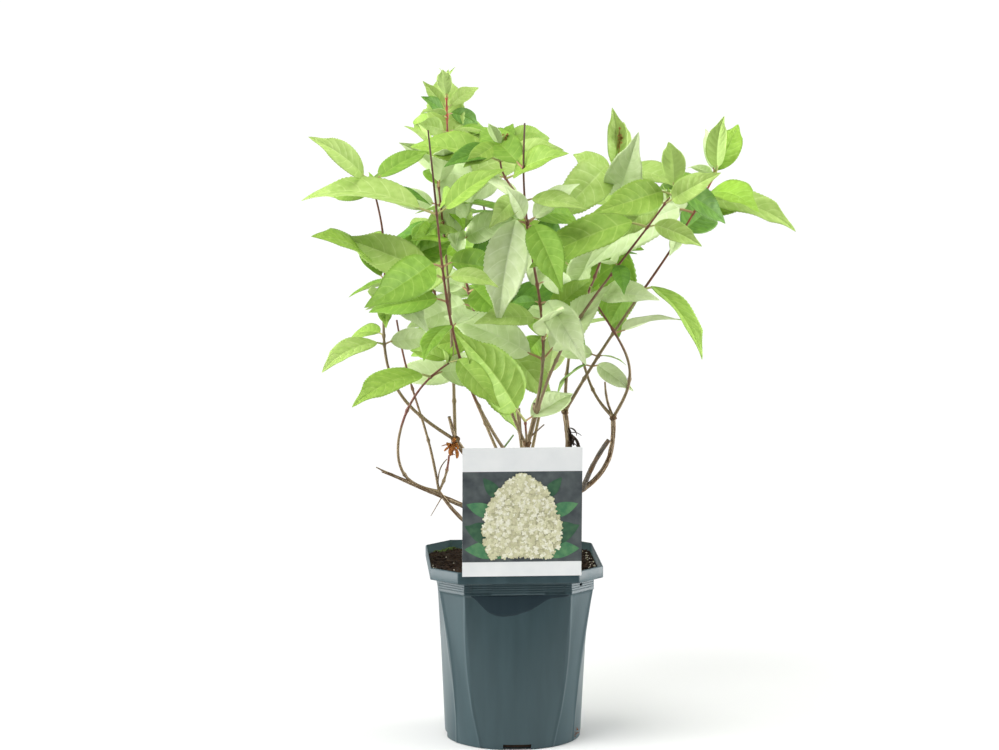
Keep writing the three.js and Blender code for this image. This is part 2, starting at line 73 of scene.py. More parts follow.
scene = bpy.context.scene
camera_data = bpy.data.cameras.new("photo_camera")
camera_data.sensor_width = SENSOR
camera_data.lens = FOCAL_PIXELS / PHOTO_WIDTH * SENSOR
camera_data.clip_end = 50
camera = bpy.data.objects.new("photo_camera", camera_data)
camera.location = to_row(CAMERA_AT)
camera.rotation_euler = (math.radians(90 - CAMERA_DOWN), 0, PLANT_TURN)
scene.collection.objects.link(camera)
scene.camera = camera
print("lens:", round(camera_data.lens, 1), "mm")

# %% [markdown]
# Light
# The plant was photographed in a white light tent: bright on both sides and above, a little darker
# on the camera's side, with hardly a shadow. One lamp would give hard shadows, so the sky itself is
# the lamp here. It fades towards the camera's side, which is what makes the pot's front flat look
# darker than its corners. It is brightest straight to the left and right, like the tent's two side
# panels, and that gives the pot's cut corners their sheen. One large soft panel from the upper left
# forms the leaves. Behind the plant the sky gives less light than the white the camera sees there,
# so leaves seen from the back keep their colour.

# %% Node helpers
def add_ramp(tree, value, from_range, to_range=(0, 1), shape="LINEAR"):
    """The socket of a new node that maps one range of values to another."""
    node = tree.nodes.new("ShaderNodeMapRange")
    node.interpolation_type = shape
    node.inputs["From Min"].default_value, node.inputs["From Max"].default_value = from_range
    node.inputs["To Min"].default_value, node.inputs["To Max"].default_value = to_range
    tree.links.new(value, node.inputs["Value"])
    return node.outputs[0]


def add_math(tree, operation, *values):
    """The socket of a new node that works something out from other sockets."""
    node = tree.nodes.new("ShaderNodeMath")
    node.operation = operation
    for place, value in enumerate(values):
        tree.links.new(value, node.inputs[place])
    return node.outputs[0]


# %% Sky
FRONT_SKY = 0.25
BACK_SKY = 0.65
WHITE_SKY = 1.04
SIDE_PANELS = 8
# How far a direction goes to the back or to the side, where each change begins and ends.
FRONT_FADE = (-0.8, -0.1)
BACK_FADE = (0, 0.6)
PANEL_EDGE = (0.84, 0.97)

scene.view_settings.view_transform = "Standard"
world = bpy.data.worlds.new("light_tent")
scene.world = world
world.use_nodes = True
sky = world.node_tree
background = sky.nodes["Background"]
background.inputs["Color"].default_value = (1, 1, 1, 1)
way = sky.nodes.new("ShaderNodeTexCoord")
split = sky.nodes.new("ShaderNodeSeparateXYZ")
sky.links.new(way.outputs["Generated"], split.inputs[0])
fade = add_ramp(sky, split.outputs["Y"], FRONT_FADE, (FRONT_SKY, WHITE_SKY), "SMOOTHSTEP")
behind = add_ramp(sky, split.outputs["Y"], BACK_FADE, (1, BACK_SKY), "SMOOTHSTEP")
aside = add_math(sky, "ABSOLUTE", split.outputs["X"])
sides = add_ramp(sky, aside, PANEL_EDGE, (0, SIDE_PANELS), "SMOOTHSTEP")
total = add_math(sky, "ADD", add_math(sky, "MULTIPLY", fade, behind), sides)
# The camera sees plain white behind the plant from every side, whatever the light does there.
rays = sky.nodes.new("ShaderNodeLightPath")
seen = sky.nodes.new("ShaderNodeMix")
seen.inputs["B"].default_value = WHITE_SKY
sky.links.new(rays.outputs["Is Camera Ray"], seen.inputs["Factor"])
sky.links.new(total, seen.inputs["A"])
sky.links.new(seen.outputs["Result"], background.inputs["Strength"])
print("sky nodes:", len(sky.nodes))

# %% Soft panel and table
LAMP = {"size": 1.6, "energy": 40, "at": (-0.9, -1.0, 2.5), "turn": (34, 0, -42)}
lamp_data = bpy.data.lights.new("soft_panel", "AREA")
lamp_data.shape = "DISK"
lamp_data.size = LAMP["size"]
lamp_data.energy = LAMP["energy"]
lamp = bpy.data.objects.new("soft_panel", lamp_data)
lamp.location = LAMP["at"]
lamp.rotation_euler = [math.radians(turn) for turn in LAMP["turn"]]
scene.collection.objects.link(lamp)

# The white table ends a little behind the plant, where the picture shows its faint back edge.
TABLE = {"width": 1.3, "back": 0.45, "front": -0.35, "colour": (0.88, 0.885, 0.875, 1), "dull": 0.9}
bpy.ops.mesh.primitive_plane_add(size=1, location=(0, (TABLE["back"] + TABLE["front"]) / 2, 0))
floor = bpy.context.object
floor.scale = (TABLE["width"], TABLE["back"] - TABLE["front"], 1)
floor.rotation_euler = (0, 0, PLANT_TURN)
floor.name = "studio_floor"
paper = bpy.data.materials.new("floor_paper")
paper.use_nodes = True
paper_shader = paper.node_tree.nodes["Principled BSDF"]
paper_shader.inputs["Base Color"].default_value = TABLE["colour"]
paper_shader.inputs["Roughness"].default_value = TABLE["dull"]
floor.data.materials.append(paper)
print("table:", TABLE)

# %% [markdown]
# Effects that many finishes share
# Almost every surface here is a base colour with a slow drift in it, plus fine relief. Rather than
# wiring that into each material, each effect is a node group with named sockets, built once. A group
# only puts out colours, masks and heights. The shader and its fixed numbers stay in the material,
# where an exporter can read them.

# %% Helpers for node groups
def start_group(name, inputs, outputs):
    """An empty node group with those sockets, and its two end nodes."""
    group = bpy.data.node_groups.new(name, "ShaderNodeTree")
    for label, kind, value in inputs:
        socket = group.interface.new_socket(label, in_out="INPUT", socket_type=kind)
        socket.default_value = value
    for label, kind in outputs:
        group.interface.new_socket(label, in_out="OUTPUT", socket_type=kind)
    return group, group.nodes.new("NodeGroupInput"), group.nodes.new("NodeGroupOutput")


def add_noise(group, group_in, detail=3.0):
    """A noise texture on the object's own coordinates, stretched and scaled by the group's inputs."""
    place = group.nodes.new("ShaderNodeTexCoord")
    stretch = group.nodes.new("ShaderNodeVectorMath")
    stretch.operation = "MULTIPLY"
    noise = group.nodes.new("ShaderNodeTexNoise")
    noise.inputs["Detail"].default_value = detail
    group.links.new(place.outputs["Object"], stretch.inputs[0])
    group.links.new(group_in.outputs["Stretch"], stretch.inputs[1])
    group.links.new(stretch.outputs[0], noise.inputs["Vector"])
    group.links.new(group_in.outputs["Scale"], noise.inputs["Scale"])
    return noise


# %% Colour drift
COLOR, NUMBER, VECTOR = "NodeSocketColor", "NodeSocketFloat", "NodeSocketVector"
STRETCH = ("Stretch", VECTOR, (1, 1, 1))
NOISE_MIDDLE = (0.34, 0.66)

drift, drift_in, drift_out = start_group(
    "Colour drift",
    [("Colour", COLOR, (1, 1, 1, 1)), ("Second colour", COLOR, (1, 1, 1, 1)), ("Scale", NUMBER, 90), STRETCH],
    [("Colour", COLOR), ("Mask", NUMBER)],
)
noise = add_noise(drift, drift_in)
mask = add_ramp(drift, noise.outputs["Fac"], NOISE_MIDDLE)
blend = drift.nodes.new("ShaderNodeMix")
blend.data_type = "RGBA"
drift.links.new(mask, blend.inputs["Factor"])
drift.links.new(drift_in.outputs["Colour"], blend.inputs["A"])
drift.links.new(drift_in.outputs["Second colour"], blend.inputs["B"])
drift.links.new(blend.outputs["Result"], drift_out.inputs["Colour"])
drift.links.new(mask, drift_out.inputs["Mask"])
print("colour drift:", len(drift.nodes), "nodes")

# %% Fine relief
relief, relief_in, relief_out = start_group(
    "Fine relief", [("Scale", NUMBER, 900), STRETCH], [("Height", NUMBER)]
)
noise = add_noise(relief, relief_in, detail=5.0)
relief.links.new(noise.outputs["Fac"], relief_out.inputs["Height"])
print("fine relief:", len(relief.nodes), "nodes")

# %% [markdown]
# One way to make a finish
# Every material below is a Principled shader fed by the two groups. The function takes what a maker
# would say of the surface: its two colours, how coarse the drift is, how dull it is, and how deep its
# grain. Colours are given as they look on screen, and turned into the linear values Blender uses.

# %% Finishes
def linear(rgb):
    """An on-screen colour, 0 to 255, as the linear colour that Blender's sockets take."""
    share = np.asarray(rgb, float) / 255
    low, high = share / 12.92, ((share + 0.055) / 1.055) ** 2.4
    return (*np.where(share <= 0.04045, low, high), 1.0)


def add_group(tree, group, values):
    """A node for one of the groups, with its sockets set."""
    node = tree.nodes.new("ShaderNodeGroup")
    node.node_tree = group
    for label, value in values.items():
        node.inputs[label].default_value = value
    return node


def make_finish(name, colour, second, drift_scale, dull, grain_scale, grain, stretch=(1, 1, 1), gloss=0.5):
    """A material that drifts between two colours, with fine relief. dull is a range of roughness."""
    material = bpy.data.materials.new(name)
    material.use_nodes = True
    tree = material.node_tree
    shader = tree.nodes["Principled BSDF"]
    shader.inputs["Specular IOR Level"].default_value = gloss
    both = {"Colour": linear(colour), "Second colour": linear(second)}
    colours = add_group(tree, drift, {**both, "Scale": drift_scale, "Stretch": stretch})
    grains = add_group(tree, relief, {"Scale": grain_scale, "Stretch": stretch})
    bump = tree.nodes.new("ShaderNodeBump")
    bump.inputs["Strength"].default_value = grain
    bump.inputs["Distance"].default_value = MM
    tree.links.new(colours.outputs["Colour"], shader.inputs["Base Color"])
    tree.links.new(add_ramp(tree, colours.outputs["Mask"], (0, 1), dull), shader.inputs["Roughness"])
    tree.links.new(grains.outputs["Height"], bump.inputs["Height"])
    tree.links.new(bump.outputs["Normal"], shader.inputs["Normal"])
    return material


# %% [markdown]
# One way to make a piece
# A leafy plant is thousands of small closed shapes. Making an object for each would be slow and hard
# to export, so every helper below returns plain arrays: points in millimetres, and faces that each
# carry the number of their finish. This function joins such parts into one mesh object, lets it ride
# on the part's only body, and hides the solids it stands for.

# %% Joining parts into a piece
def make_piece(name, parts, finishes, solids=(), smooth=True, place=to_row):
    """One object from (points, [(corners, finish number), ...]) parts."""
    points = place(np.concatenate([part[0] for part in parts]))
    corners, sizes, numbers = [], [], []
    first = 0
    for part_points, faces in parts:
        for indices, number in faces:
            corners.append((indices + first).ravel())
            sizes.append(np.full(len(indices), indices.shape[1]))
            numbers.append(np.broadcast_to(number, len(indices)))
        first += len(part_points)
    corners, sizes, numbers = map(np.concatenate, (corners, sizes, numbers))
    mesh = bpy.data.meshes.new(name)
    mesh.vertices.add(len(points))
    mesh.vertices.foreach_set("co", points.astype(np.float32).ravel())
    mesh.loops.add(len(corners))
    mesh.loops.foreach_set("vertex_index", corners.astype(np.int32))
    mesh.polygons.add(len(sizes))
    mesh.polygons.foreach_set("loop_start", (np.cumsum(sizes) - sizes).astype(np.int32))
    mesh.polygons.foreach_set("material_index", numbers.astype(np.int32))
    mesh.polygons.foreach_set("use_smooth", np.full(len(sizes), smooth))
    for finish in finishes:
        mesh.materials.append(finish)
    mesh.update(calc_edges=True)
    mesh.validate()
    piece = bpy.data.objects.new(name, mesh)
    scene.collection.objects.link(piece)
    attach(piece, "root")
    if solids:
        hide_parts(*solids)
    print(f"{name}: {int((sizes - 2).sum())} triangles")
    return piece


def to_metres(points):
    """Points that are already in the part's own frame."""
    return np.asarray(points, float) * MM


# %% [markdown]
# The pot
# The real pot is thin moulded plastic, square with cut corners at the rim and round at the foot. It
# could be a scaled cylinder, but the change from square to round is what makes it recognisable. So it
# is lofted from rings: each ring is the larger shape's outline, mixed with a circle more and more
# towards the foot. Two soft ridges run down each side, where its flat ends, and under the collar in
# front a shallow pad stands out, as a thumb would find it.

# %% Pot rings
POT = {
    "height": 182, "foot": 136, "wall_across": 150, "wall_flat": 103, "collar_across": 153,
    "collar_flat": 105, "collar_bottom": 157.5, "lip_across": 170, "lip_flat": 118,
    "lip_bottom": 170.5, "shelf": 172, "wall": 1.5, "floor": 2,
}
FLATS = np.radians([0, 90, 90, 180, 180, 270, 270, 360])
RIDGE_SIDES = np.radians([34.5, -34.5] * 4)
# Points stand every one and a half degrees round the pot, and closer where the ridges run.
WIDE_STEPS, CLOSE_STEPS = np.arange(0, 360, 1.5), np.arange(-4.5, 4.6, 0.5)
close_by = (FLATS + RIDGE_SIDES)[:, None] + np.radians(CLOSE_STEPS)
ring_angles = np.concatenate([np.radians(WIDE_STEPS), close_by.ravel()])
ring_angles = np.unique(ring_angles.round(5))
print("points round the pot:", len(ring_angles))


def pot_ring(height, across, flat, round_share=0.0, inwards=0.0, angles=ring_angles):
    """A level ring of the pot: a square with cut corners, mixed with a circle."""
    to_flat = across / 2 - inwards
    to_corner = (across + flat) / 2 / math.sqrt(2) - inwards
    turn = angles % (math.pi / 2)
    from_flat = np.minimum(turn, math.pi / 2 - turn)
    straight = np.minimum(to_flat / np.cos(from_flat), to_corner / np.cos(turn - math.pi / 4))
    radius = straight * (1 - round_share) + to_flat * round_share
    return np.stack([radius * np.cos(angles), radius * np.sin(angles), np.full(len(radius), height)], -1)


# %% Lofts
def ring_faces(rows, columns, first, foot, top):
    """Faces between rings of points, and the fans that close them at the foot and the top."""
    index = first + np.arange(rows * columns).reshape(rows, columns)
    beside = np.roll(index, -1, axis=1)
    quads = np.stack([index[:-1], beside[:-1], beside[1:], index[1:]], -1).reshape(-1, 4)
    foot_fan = np.stack([np.full(columns, foot), beside[0], index[0]], -1)
    top_fan = np.stack([np.full(columns, top), index[-1], beside[-1]], -1)
    return quads, foot_fan, top_fan


def loft(rings, number=0):
    """A closed part through rings of points, from the bottom to the top, with flat ends."""
    points = np.concatenate([*rings, rings[0].mean(0)[None], rings[-1].mean(0)[None]])
    faces = ring_faces(len(rings), len(rings[0]), 0, len(points) - 2, len(points) - 1)
    return points, [(some, number) for some in faces]


# %% [markdown]
# Relief of the pot
# Ridges and the collar panel are small changes of the wall's distance from the middle. They are
# worked out from each point's own angle and height, so the wall stays one smooth sheet. The pad is a
# piece of its own: it is duller than the wall round it, and darker with painted shade under the collar.

# %% Pot relief
RIDGE = {"height": 0.8, "width": math.radians(1.1), "bulge": 0.104, "narrowing": 0.087}
COLLAR_PANEL = {"half": 26, "edge": 46, "proud": 0.7, "sunk": 0.6}


def wall_relief(ring, share):
    """A ring of the wall with its ridges, which part halfway down and close in at the foot."""
    angle = np.arctan2(ring[:, 1], ring[:, 0])
    reach = 1 + RIDGE["bulge"] * math.sin(math.pi * share**0.9) - RIDGE["narrowing"] * (1 - share) ** 3
    ridges = FLATS + RIDGE_SIDES * reach
    away = np.abs((angle[:, None] - ridges + math.pi) % (2 * math.pi) - math.pi).min(1)
    out = RIDGE["height"] * np.exp(-((away / RIDGE["width"]) ** 2))
    ring = ring.copy()
    ring[:, :2] *= (1 + out / np.hypot(ring[:, 0], ring[:, 1]))[:, None]
    return ring


def collar_relief(ring):
    """A raised panel in the middle of the front of the collar, between two sunk ones."""
    away = np.abs(ring[:, 0])
    in_front = ring[:, 1] < -away
    out = np.where(away < COLLAR_PANEL["half"], COLLAR_PANEL["proud"], -COLLAR_PANEL["sunk"])
    out = np.where(in_front & (away < COLLAR_PANEL["edge"]), out, 0)
    ring = ring.copy()
    ring[:, 1] -= out
    return ring


# %% Wall rings and rounded edges
def wall_ring(share, height, inwards, angles=ring_angles):
    """One ring of the wall, round at the foot and square at the collar."""
    across = POT["foot"] + (POT["wall_across"] - POT["foot"]) * share
    return pot_ring(height, across, POT["wall_flat"], 1 - share, inwards, angles)


def wall_rings(inwards, bottom, top, count):
    """Rings of the wall from the foot up, each with its share of the way."""
    shares = np.linspace(0, 1, count)
    return [(share, wall_ring(share, bottom + (top - bottom) * share, inwards)) for share in shares]


def rounded(height, across, flat, radius, up, inwards=0.0, steps=3):
    """Rings round an edge: from the flat face below it to the wall above it, or the other way up."""
    rings = []
    for turn in np.linspace(0, math.pi / 2, steps + 1):
        inset = radius * (1 - math.sin(turn)) if up else radius * (1 - math.cos(turn))
        rise = radius * (1 - math.cos(turn)) if up else radius * math.sin(turn) - radius
        rings.append(pot_ring(height + rise, across, flat, 0, inwards + inset))
    return rings


# %% Pot profile
FOOT_ROUNDS = ((0, 1.2), (0.35, 0.35))
WALL_FOOT, WALL_TOP = 1.2, POT["collar_bottom"] - 0.3
COLLAR_FACE = (158.4, 169.2)
GROOVES = (160.6, 162.9, 165.2, 167.5)
GROOVE_STEPS = ((-0.4, 0), (0, 0.3), (0.4, 0))
EDGE = {"collar": 0.5, "lip": 0.8, "rim": 0.6, "inside": -0.5}

wall = POT["wall"]
collar = (POT["collar_across"], POT["collar_flat"])
lip = (POT["lip_across"], POT["lip_flat"])
outer = [wall_ring(0, height, inset) for height, inset in FOOT_ROUNDS]
outer += [wall_relief(ring, share) for share, ring in wall_rings(0, WALL_FOOT, WALL_TOP, 60)]
outer += rounded(POT["collar_bottom"], *collar, EDGE["collar"], True)
outer.append(collar_relief(pot_ring(COLLAR_FACE[0], *collar)))
for height in GROOVES:
    for rise, depth in GROOVE_STEPS:
        outer.append(collar_relief(pot_ring(height + rise, *collar, 0, depth)))
outer.append(collar_relief(pot_ring(COLLAR_FACE[1], *collar)))
outer.append(pot_ring(POT["lip_bottom"], *collar))
outer += rounded(POT["lip_bottom"], *lip, EDGE["lip"], True)
outer += rounded(POT["height"], *lip, EDGE["rim"], False)
inner = rounded(POT["height"], *lip, EDGE["inside"], False, wall + EDGE["inside"])[::-1]
inner += [pot_ring(POT["shelf"], *edge, 0, wall) for edge in (lip, collar)]
inner += [ring for _, ring in wall_rings(wall, POT["floor"], POT["collar_bottom"], 8)[::-1]]
print("pot rings:", len(outer), "outside,", len(inner), "inside")

# %% [markdown]
# Slate plastic
# Recycled nursery plastic is never one grey. It has faint upright flow streaks, a slightly uneven
# gloss and fine pits. The drift group is stretched along the height to give the streaks.

# %% Pot material and pot
STREAKS = (1, 1, 0.12)
pot_plastic = make_finish(
    "slate_pot_plastic", (50, 69, 74), (57, 77, 82), 60, (0.28, 0.4), 700, 0.06, STREAKS, 0.35
)
# A darker copy of the pot's plastic for the pad: painted shade under the collar.
pad_shade_plastic = make_finish(
    "pot_plastic_painted_shade", (30, 46, 54), (34, 51, 58), 60, (0.45, 0.5), 700, 0.05, STREAKS, 0.2
)
pot = make_piece("pot_shell", [loft(outer + inner)], [pot_plastic], ["pot"], place=to_metres)

# %% Pad under the collar
# Across the front, and how far down the pad reaches there.
PAD_ACROSS = [-46, -41, -37, -30, -22, -14, -2, 12, 20, 27, 33, 46, 54]
PAD_DROP = [0.4, 5, 10, 17.5, 21, 22, 20.5, 16, 11.5, 6.5, 3.6, 3.2, 0.4]
PAD_PROUD = 0.35
PAD_SUNK = -0.6
PAD_TURN = (-31.3, 35.6)
PAD_OUT = 75
FRONT = math.radians(270)


def shell_faces(rows, columns):
    """Faces of a closed sheet: a grid of points, and the same grid again for its other side."""
    index = np.arange(rows * columns).reshape(rows, columns)
    front = np.stack([index[:-1, :-1], index[:-1, 1:], index[1:, 1:], index[1:, :-1]], -1).reshape(-1, 4)
    back = front[:, ::-1] + rows * columns
    loop = np.concatenate([index[0, :-1], index[:-1, -1], index[-1, :0:-1], index[:0:-1, 0]])
    beside = np.roll(loop, -1)
    rim = np.stack([beside, loop, loop + rows * columns, beside + rows * columns], -1)
    return np.concatenate([front, back]), rim


pad_angles = np.radians(270 + np.linspace(*PAD_TURN, 101))
pad_drop = np.interp(PAD_OUT * np.tan(pad_angles - FRONT), PAD_ACROSS, PAD_DROP)
pad_drop = np.convolve(np.pad(pad_drop, 3, mode="edge"), np.full(7, 1 / 7), "valid")
pad_rows = np.linspace(0, 1, 12)
sheets = []
for proud in (PAD_PROUD, PAD_SUNK):
    for row in pad_rows:
        height = POT["collar_bottom"] + 0.2 - pad_drop * (1 - row)
        soft = 1 - (1 - row) ** 4 if proud > 0 else 1
        share = (height - WALL_FOOT) / (WALL_TOP - WALL_FOOT)
        sheets.append(wall_ring(share, height, -proud * soft, pad_angles))
pad_faces, pad_rim = shell_faces(len(pad_rows), len(pad_angles))
pad_sheet = (np.concatenate(sheets), [(pad_faces, 0), (pad_rim, 0)])
# The pad's darker plastic is painted shade under the collar.
make_piece("pot_pad_painted_shade", [pad_sheet], [pad_shade_plastic], place=to_metres)

# %% Drain slots and the small hole
# Metres, as Blender's own shapes are.
DRAIN_SLOT = {"size": (0.028, 0.016, 0.0112), "out": 0.068}
HOLE = {"radius": 0.0014, "depth": 0.012, "at": (0.0608, -0.0652, 0.1655)}

cutters = []
for turn in np.radians([0, 90, 180, 270]):
    bpy.ops.mesh.primitive_cube_add(size=1, location=(0, 0, 0))
    slot_cutter = bpy.context.object
    slot_cutter.scale = DRAIN_SLOT["size"]
    slot_cutter.rotation_euler = (0, 0, turn)
    slot_cutter.location = (DRAIN_SLOT["out"] * math.sin(turn), -DRAIN_SLOT["out"] * math.cos(turn), 0)
    cutters.append(slot_cutter)
bpy.ops.mesh.primitive_cylinder_add(vertices=24, radius=HOLE["radius"], depth=HOLE["depth"])
hole_cutter = bpy.context.object
hole_cutter.rotation_euler = (math.radians(90), 0, math.radians(45))
hole_cutter.location = HOLE["at"]
cutters.append(hole_cutter)
bpy.context.view_layer.update()
for cutter in cutters:
    cut = pot.modifiers.new("cut", "BOOLEAN")
    cut.object = cutter
    cut.solver = "EXACT"
whole = bpy.data.meshes.new_from_object(pot.evaluated_get(bpy.context.evaluated_depsgraph_get()))
pot.modifiers.clear()
pot.data = whole
for cutter in cutters:
    bpy.data.objects.remove(cutter)
print("pot after its drain slots:", len(pot.data.polygons), "faces")

# %% [markdown]
# Potting mix
# The pot is filled almost to its rim with dark peaty mix: a lumpy skin with crumbs, a few pale grains
# and, at the back, a little moss. A few rusty splashes of mud have dried on the foot of the pot. A
# flat disc with a bump map would give itself away at the rim, so the skin is a real lumpy surface,
# and the crumbs are small closed lumps scattered over it.

# %% Random numbers and lumps
SOIL_TOP = 174
scatter = np.random.default_rng(61)


def lump(radius, roughness, sides=7, rows=5):
    """A closed irregular pebble round the origin."""
    points = [np.array([0, 0, -radius])]
    for row in range(1, rows):
        climb = -math.pi / 2 + math.pi * row / rows
        around = 2 * math.pi * (np.arange(sides) + 0.5 * (row % 2)) / sides
        away = radius * (1 + roughness * scatter.uniform(-1, 1, sides))
        points.extend(np.stack([
            away * math.cos(climb) * np.cos(around), away * math.cos(climb) * np.sin(around),
            away * math.sin(climb),
        ], -1))
    points = np.array([*points, [0, 0, radius]])
    quads, foot_fan, top_fan = ring_faces(rows - 1, sides, 1, 0, len(points) - 1)
    return points, quads, np.concatenate([foot_fan, top_fan])


def ripple(rows, columns, run):
    """Random heights in rows and columns that change slowly along the rows."""
    knots = max(2, rows // run + 2)
    coarse = scatter.uniform(-1, 1, (knots, columns))
    at = np.linspace(0, knots - 1, rows)
    below = np.minimum(at.astype(int), knots - 2)
    mix = (at - below)[:, None]
    mix = mix * mix * (3 - 2 * mix)
    return coarse[below] * (1 - mix) + coarse[below + 1] * mix


# %% Mix finishes
MATT = {"gloss": 0.2}
peat = make_finish("dark_peat", (34, 26, 20), (58, 44, 34), 260, (0.85, 1.0), 1200, 0.8, **MATT)
crumb_brown = make_finish("brown_crumb", (72, 54, 40), (44, 33, 25), 300, (0.85, 1.0), 1200, 0.6, **MATT)
pale_grit = make_finish("pale_grit", (206, 202, 190), (170, 160, 140), 500, (0.7, 0.9), 1500, 0.4)
rusty_mud = make_finish("rusty_mud", (150, 92, 56), (112, 68, 44), 500, (0.8, 1.0), 1500, 0.6, **MATT)
moss_green = make_finish("moss", (92, 112, 58), (64, 84, 40), 700, (0.8, 1.0), 1800, 0.8, **MATT)
print("finishes so far:", len(bpy.data.materials))

# %% Soil skin
SOIL_RIM = (POT["lip_across"] - 3.6, POT["lip_flat"] - 1.8)
SOIL_CLEAR = 3.1
SOIL_FOOT = 2.3
SHELF_TOP = 172.3
SKIN_RINGS = np.linspace(0.985, 0.01, 44)
SKIN_LUMPS = 0.35


def soil_height(x, y):
    """The lumpy top of the mix."""
    wave = np.sin(x * 0.21 + 1.3) * np.cos(y * 0.17 - 0.4) + 0.6 * np.sin(x * 0.43 - y * 0.39)
    return SOIL_TOP + 0.9 * wave + 0.5 * np.sin(x * 1.1) * np.sin(y * 1.3 + 0.7)


def soil_skin():
    """Rings that fill the pot, with a lumpy top."""
    rings = [ring for _, ring in wall_rings(SOIL_CLEAR, SOIL_FOOT, POT["collar_bottom"], 4)]
    rings.append(pot_ring(SHELF_TOP, *collar, 0, SOIL_CLEAR))
    rings += [pot_ring(height, *SOIL_RIM) for height in (SHELF_TOP, SOIL_TOP - 1)]
    for share in SKIN_RINGS:
        ring = pot_ring(SOIL_TOP, *SOIL_RIM, 0.2 * (1 - share))
        ring[:, :2] *= share
        lumps = scatter.uniform(-SKIN_LUMPS, SKIN_LUMPS, len(ring)) * min(1, share * 6)
        ring[:, 2] = soil_height(ring[:, 0], ring[:, 1]) + lumps
        rings.append(ring)
    return loft(rings)


make_piece("soil_skin", [soil_skin()], [peat], ["potting_soil"], place=to_metres)

# %% Strewn lumps
CRUMB = {"rough": 0.45, "flat": 0.75}
SOIL_REACH = 83


def soil_scatter(count, sizes, number, reach, turn):
    """Lumps strewn over the mix, between two shares of the way out and two headings."""
    parts = []
    for _ in range(count):
        share = math.sqrt(scatter.uniform(reach[0] ** 2, reach[1] ** 2))
        around = math.radians(scatter.uniform(*turn))
        radius = scatter.uniform(*sizes)
        points, quads, fans = lump(radius, CRUMB["rough"], 6, 4)
        edge = pot_ring(0, *SOIL_RIM, angles=np.array([around % (2 * math.pi)]))[0][:2]
        spot = edge * share * (1 - radius / SOIL_REACH)
        points[:, 2] *= CRUMB["flat"]
        points += [spot[0], spot[1], soil_height(*spot) + 0.3 * radius]
        parts.append((points, [(quads, number), (fans, number)]))
    return parts


# %% Crumbs, grit, moss and splashes
# Each row: how many, their sizes, their finish, then how far out and round which side they lie.
ALL_ROUND, ALL_OVER = (0, 360), (0.0, 0.97)
STREWN = [
    (1500, (0.5, 2.1), 0, ALL_OVER, ALL_ROUND),
    (500, (0.5, 1.7), 1, ALL_OVER, ALL_ROUND),
    (46, (0.4, 0.9), 2, ALL_OVER, ALL_ROUND),
    (70, (0.5, 1.1), 2, (0.9, 0.985), (-25, 55)),
    (14, (0.5, 1.0), 2, (0.94, 0.985), (185, 215)),
    (46, (0.6, 1.5), 3, (0.93, 0.98), (118, 142)),
]
SPLASHES = {"count": 14, "round": (327, 341), "height": (4, 13), "size": (0.4, 0.9)}

crumbs = []
for row in STREWN:
    crumbs += soil_scatter(*row)
for _ in range(SPLASHES["count"]):
    around = math.radians(scatter.uniform(*SPLASHES["round"]))
    height = scatter.uniform(*SPLASHES["height"])
    points, quads, fans = lump(scatter.uniform(*SPLASHES["size"]), 0.4, 6, 4)
    spot = wall_ring(height / POT["collar_bottom"], height, 0, np.array([around]))[0]
    crumbs.append((points + spot, [(quads, 4), (fans, 4)]))
crumb_finishes = [peat, crumb_brown, pale_grit, moss_green, rusty_mud]
make_piece("soil_crumbs", crumbs, crumb_finishes, smooth=False, place=to_metres)

# %% [markdown]
# The picture card
# Growers hang a printed card over the rim. The solid for it has the right shape, so it stays and gets
# a finish. The print is built on it in very thin layers: a dark panel between two white bands, which
# are left bare, and on the panel one broad cream flower head between sprays of leaves. It is a design
# made for this part. Each floret is a small four-lobed lens, so the head has real relief up close.

# %% Card frame
CARD = {"width": 116, "thick": 0.8, "bottom": 178.6, "aside": 3, "lean": math.radians(4)}
CARD["front"] = -(POT["lip_across"] / 2 + 0.3 + CARD["thick"] / 2)
PANEL = (14.5, 104.5)
# How far out of the card's face each layer of the print lies.
LAYERS = {"panel": 0.08, "leaf": 0.16, "next leaf": 0.01, "ground": 0.3, "floret": 0.36, "pile": 0.5}
print("card:", CARD["width"], "mm across, its panel from", PANEL[0], "to", PANEL[1])


def on_card(x, z, out):
    """A point on the card's front: across from its middle, up from its foot, and out of its face."""
    x, z, out = np.broadcast_arrays(x, z, out)
    y = -(CARD["thick"] / 2 + out)
    cos, sin = math.cos(CARD["lean"]), math.sin(CARD["lean"])
    return np.stack([
        CARD["aside"] + x, CARD["front"] + y * cos - z * sin, CARD["bottom"] + y * sin + z * cos,
    ], -1)


# %% Patches and the panel
def print_patch(outline, out, number, thick=0.06):
    """A thin closed patch on the card, from an outline that runs anticlockwise as one looks at it."""
    outline = np.asarray(outline, float)
    count = len(outline)
    middle = outline.mean(0)
    points = np.concatenate([
        on_card(outline[:, 0], outline[:, 1], out), on_card(*middle, out + thick)[None],
        on_card(*middle, out - thick)[None],
    ])
    index = np.arange(count)
    beside = np.roll(index, -1)
    front = np.stack([index, beside, np.full(count, count)], -1)
    back = np.stack([beside, index, np.full(count, count + 1)], -1)
    return points, [(front, number), (back, number)]


PANEL_ROWS, PANEL_COLUMNS = 21, 25


def panel_box(low, high, width, out, number):
    """A thin closed rectangle on the card, in a fine grid so that it can carry a drift of colour."""
    across, up = np.linspace(-width / 2, width / 2, PANEL_COLUMNS), np.linspace(low, high, PANEL_ROWS)
    xs, zs = (grid.ravel() for grid in np.meshgrid(across, up))
    points = np.concatenate([on_card(xs, zs, out), on_card(xs, zs, 0.0)])
    front, rim = shell_faces(PANEL_ROWS, PANEL_COLUMNS)
    return points, [(front, number), (rim, number)]


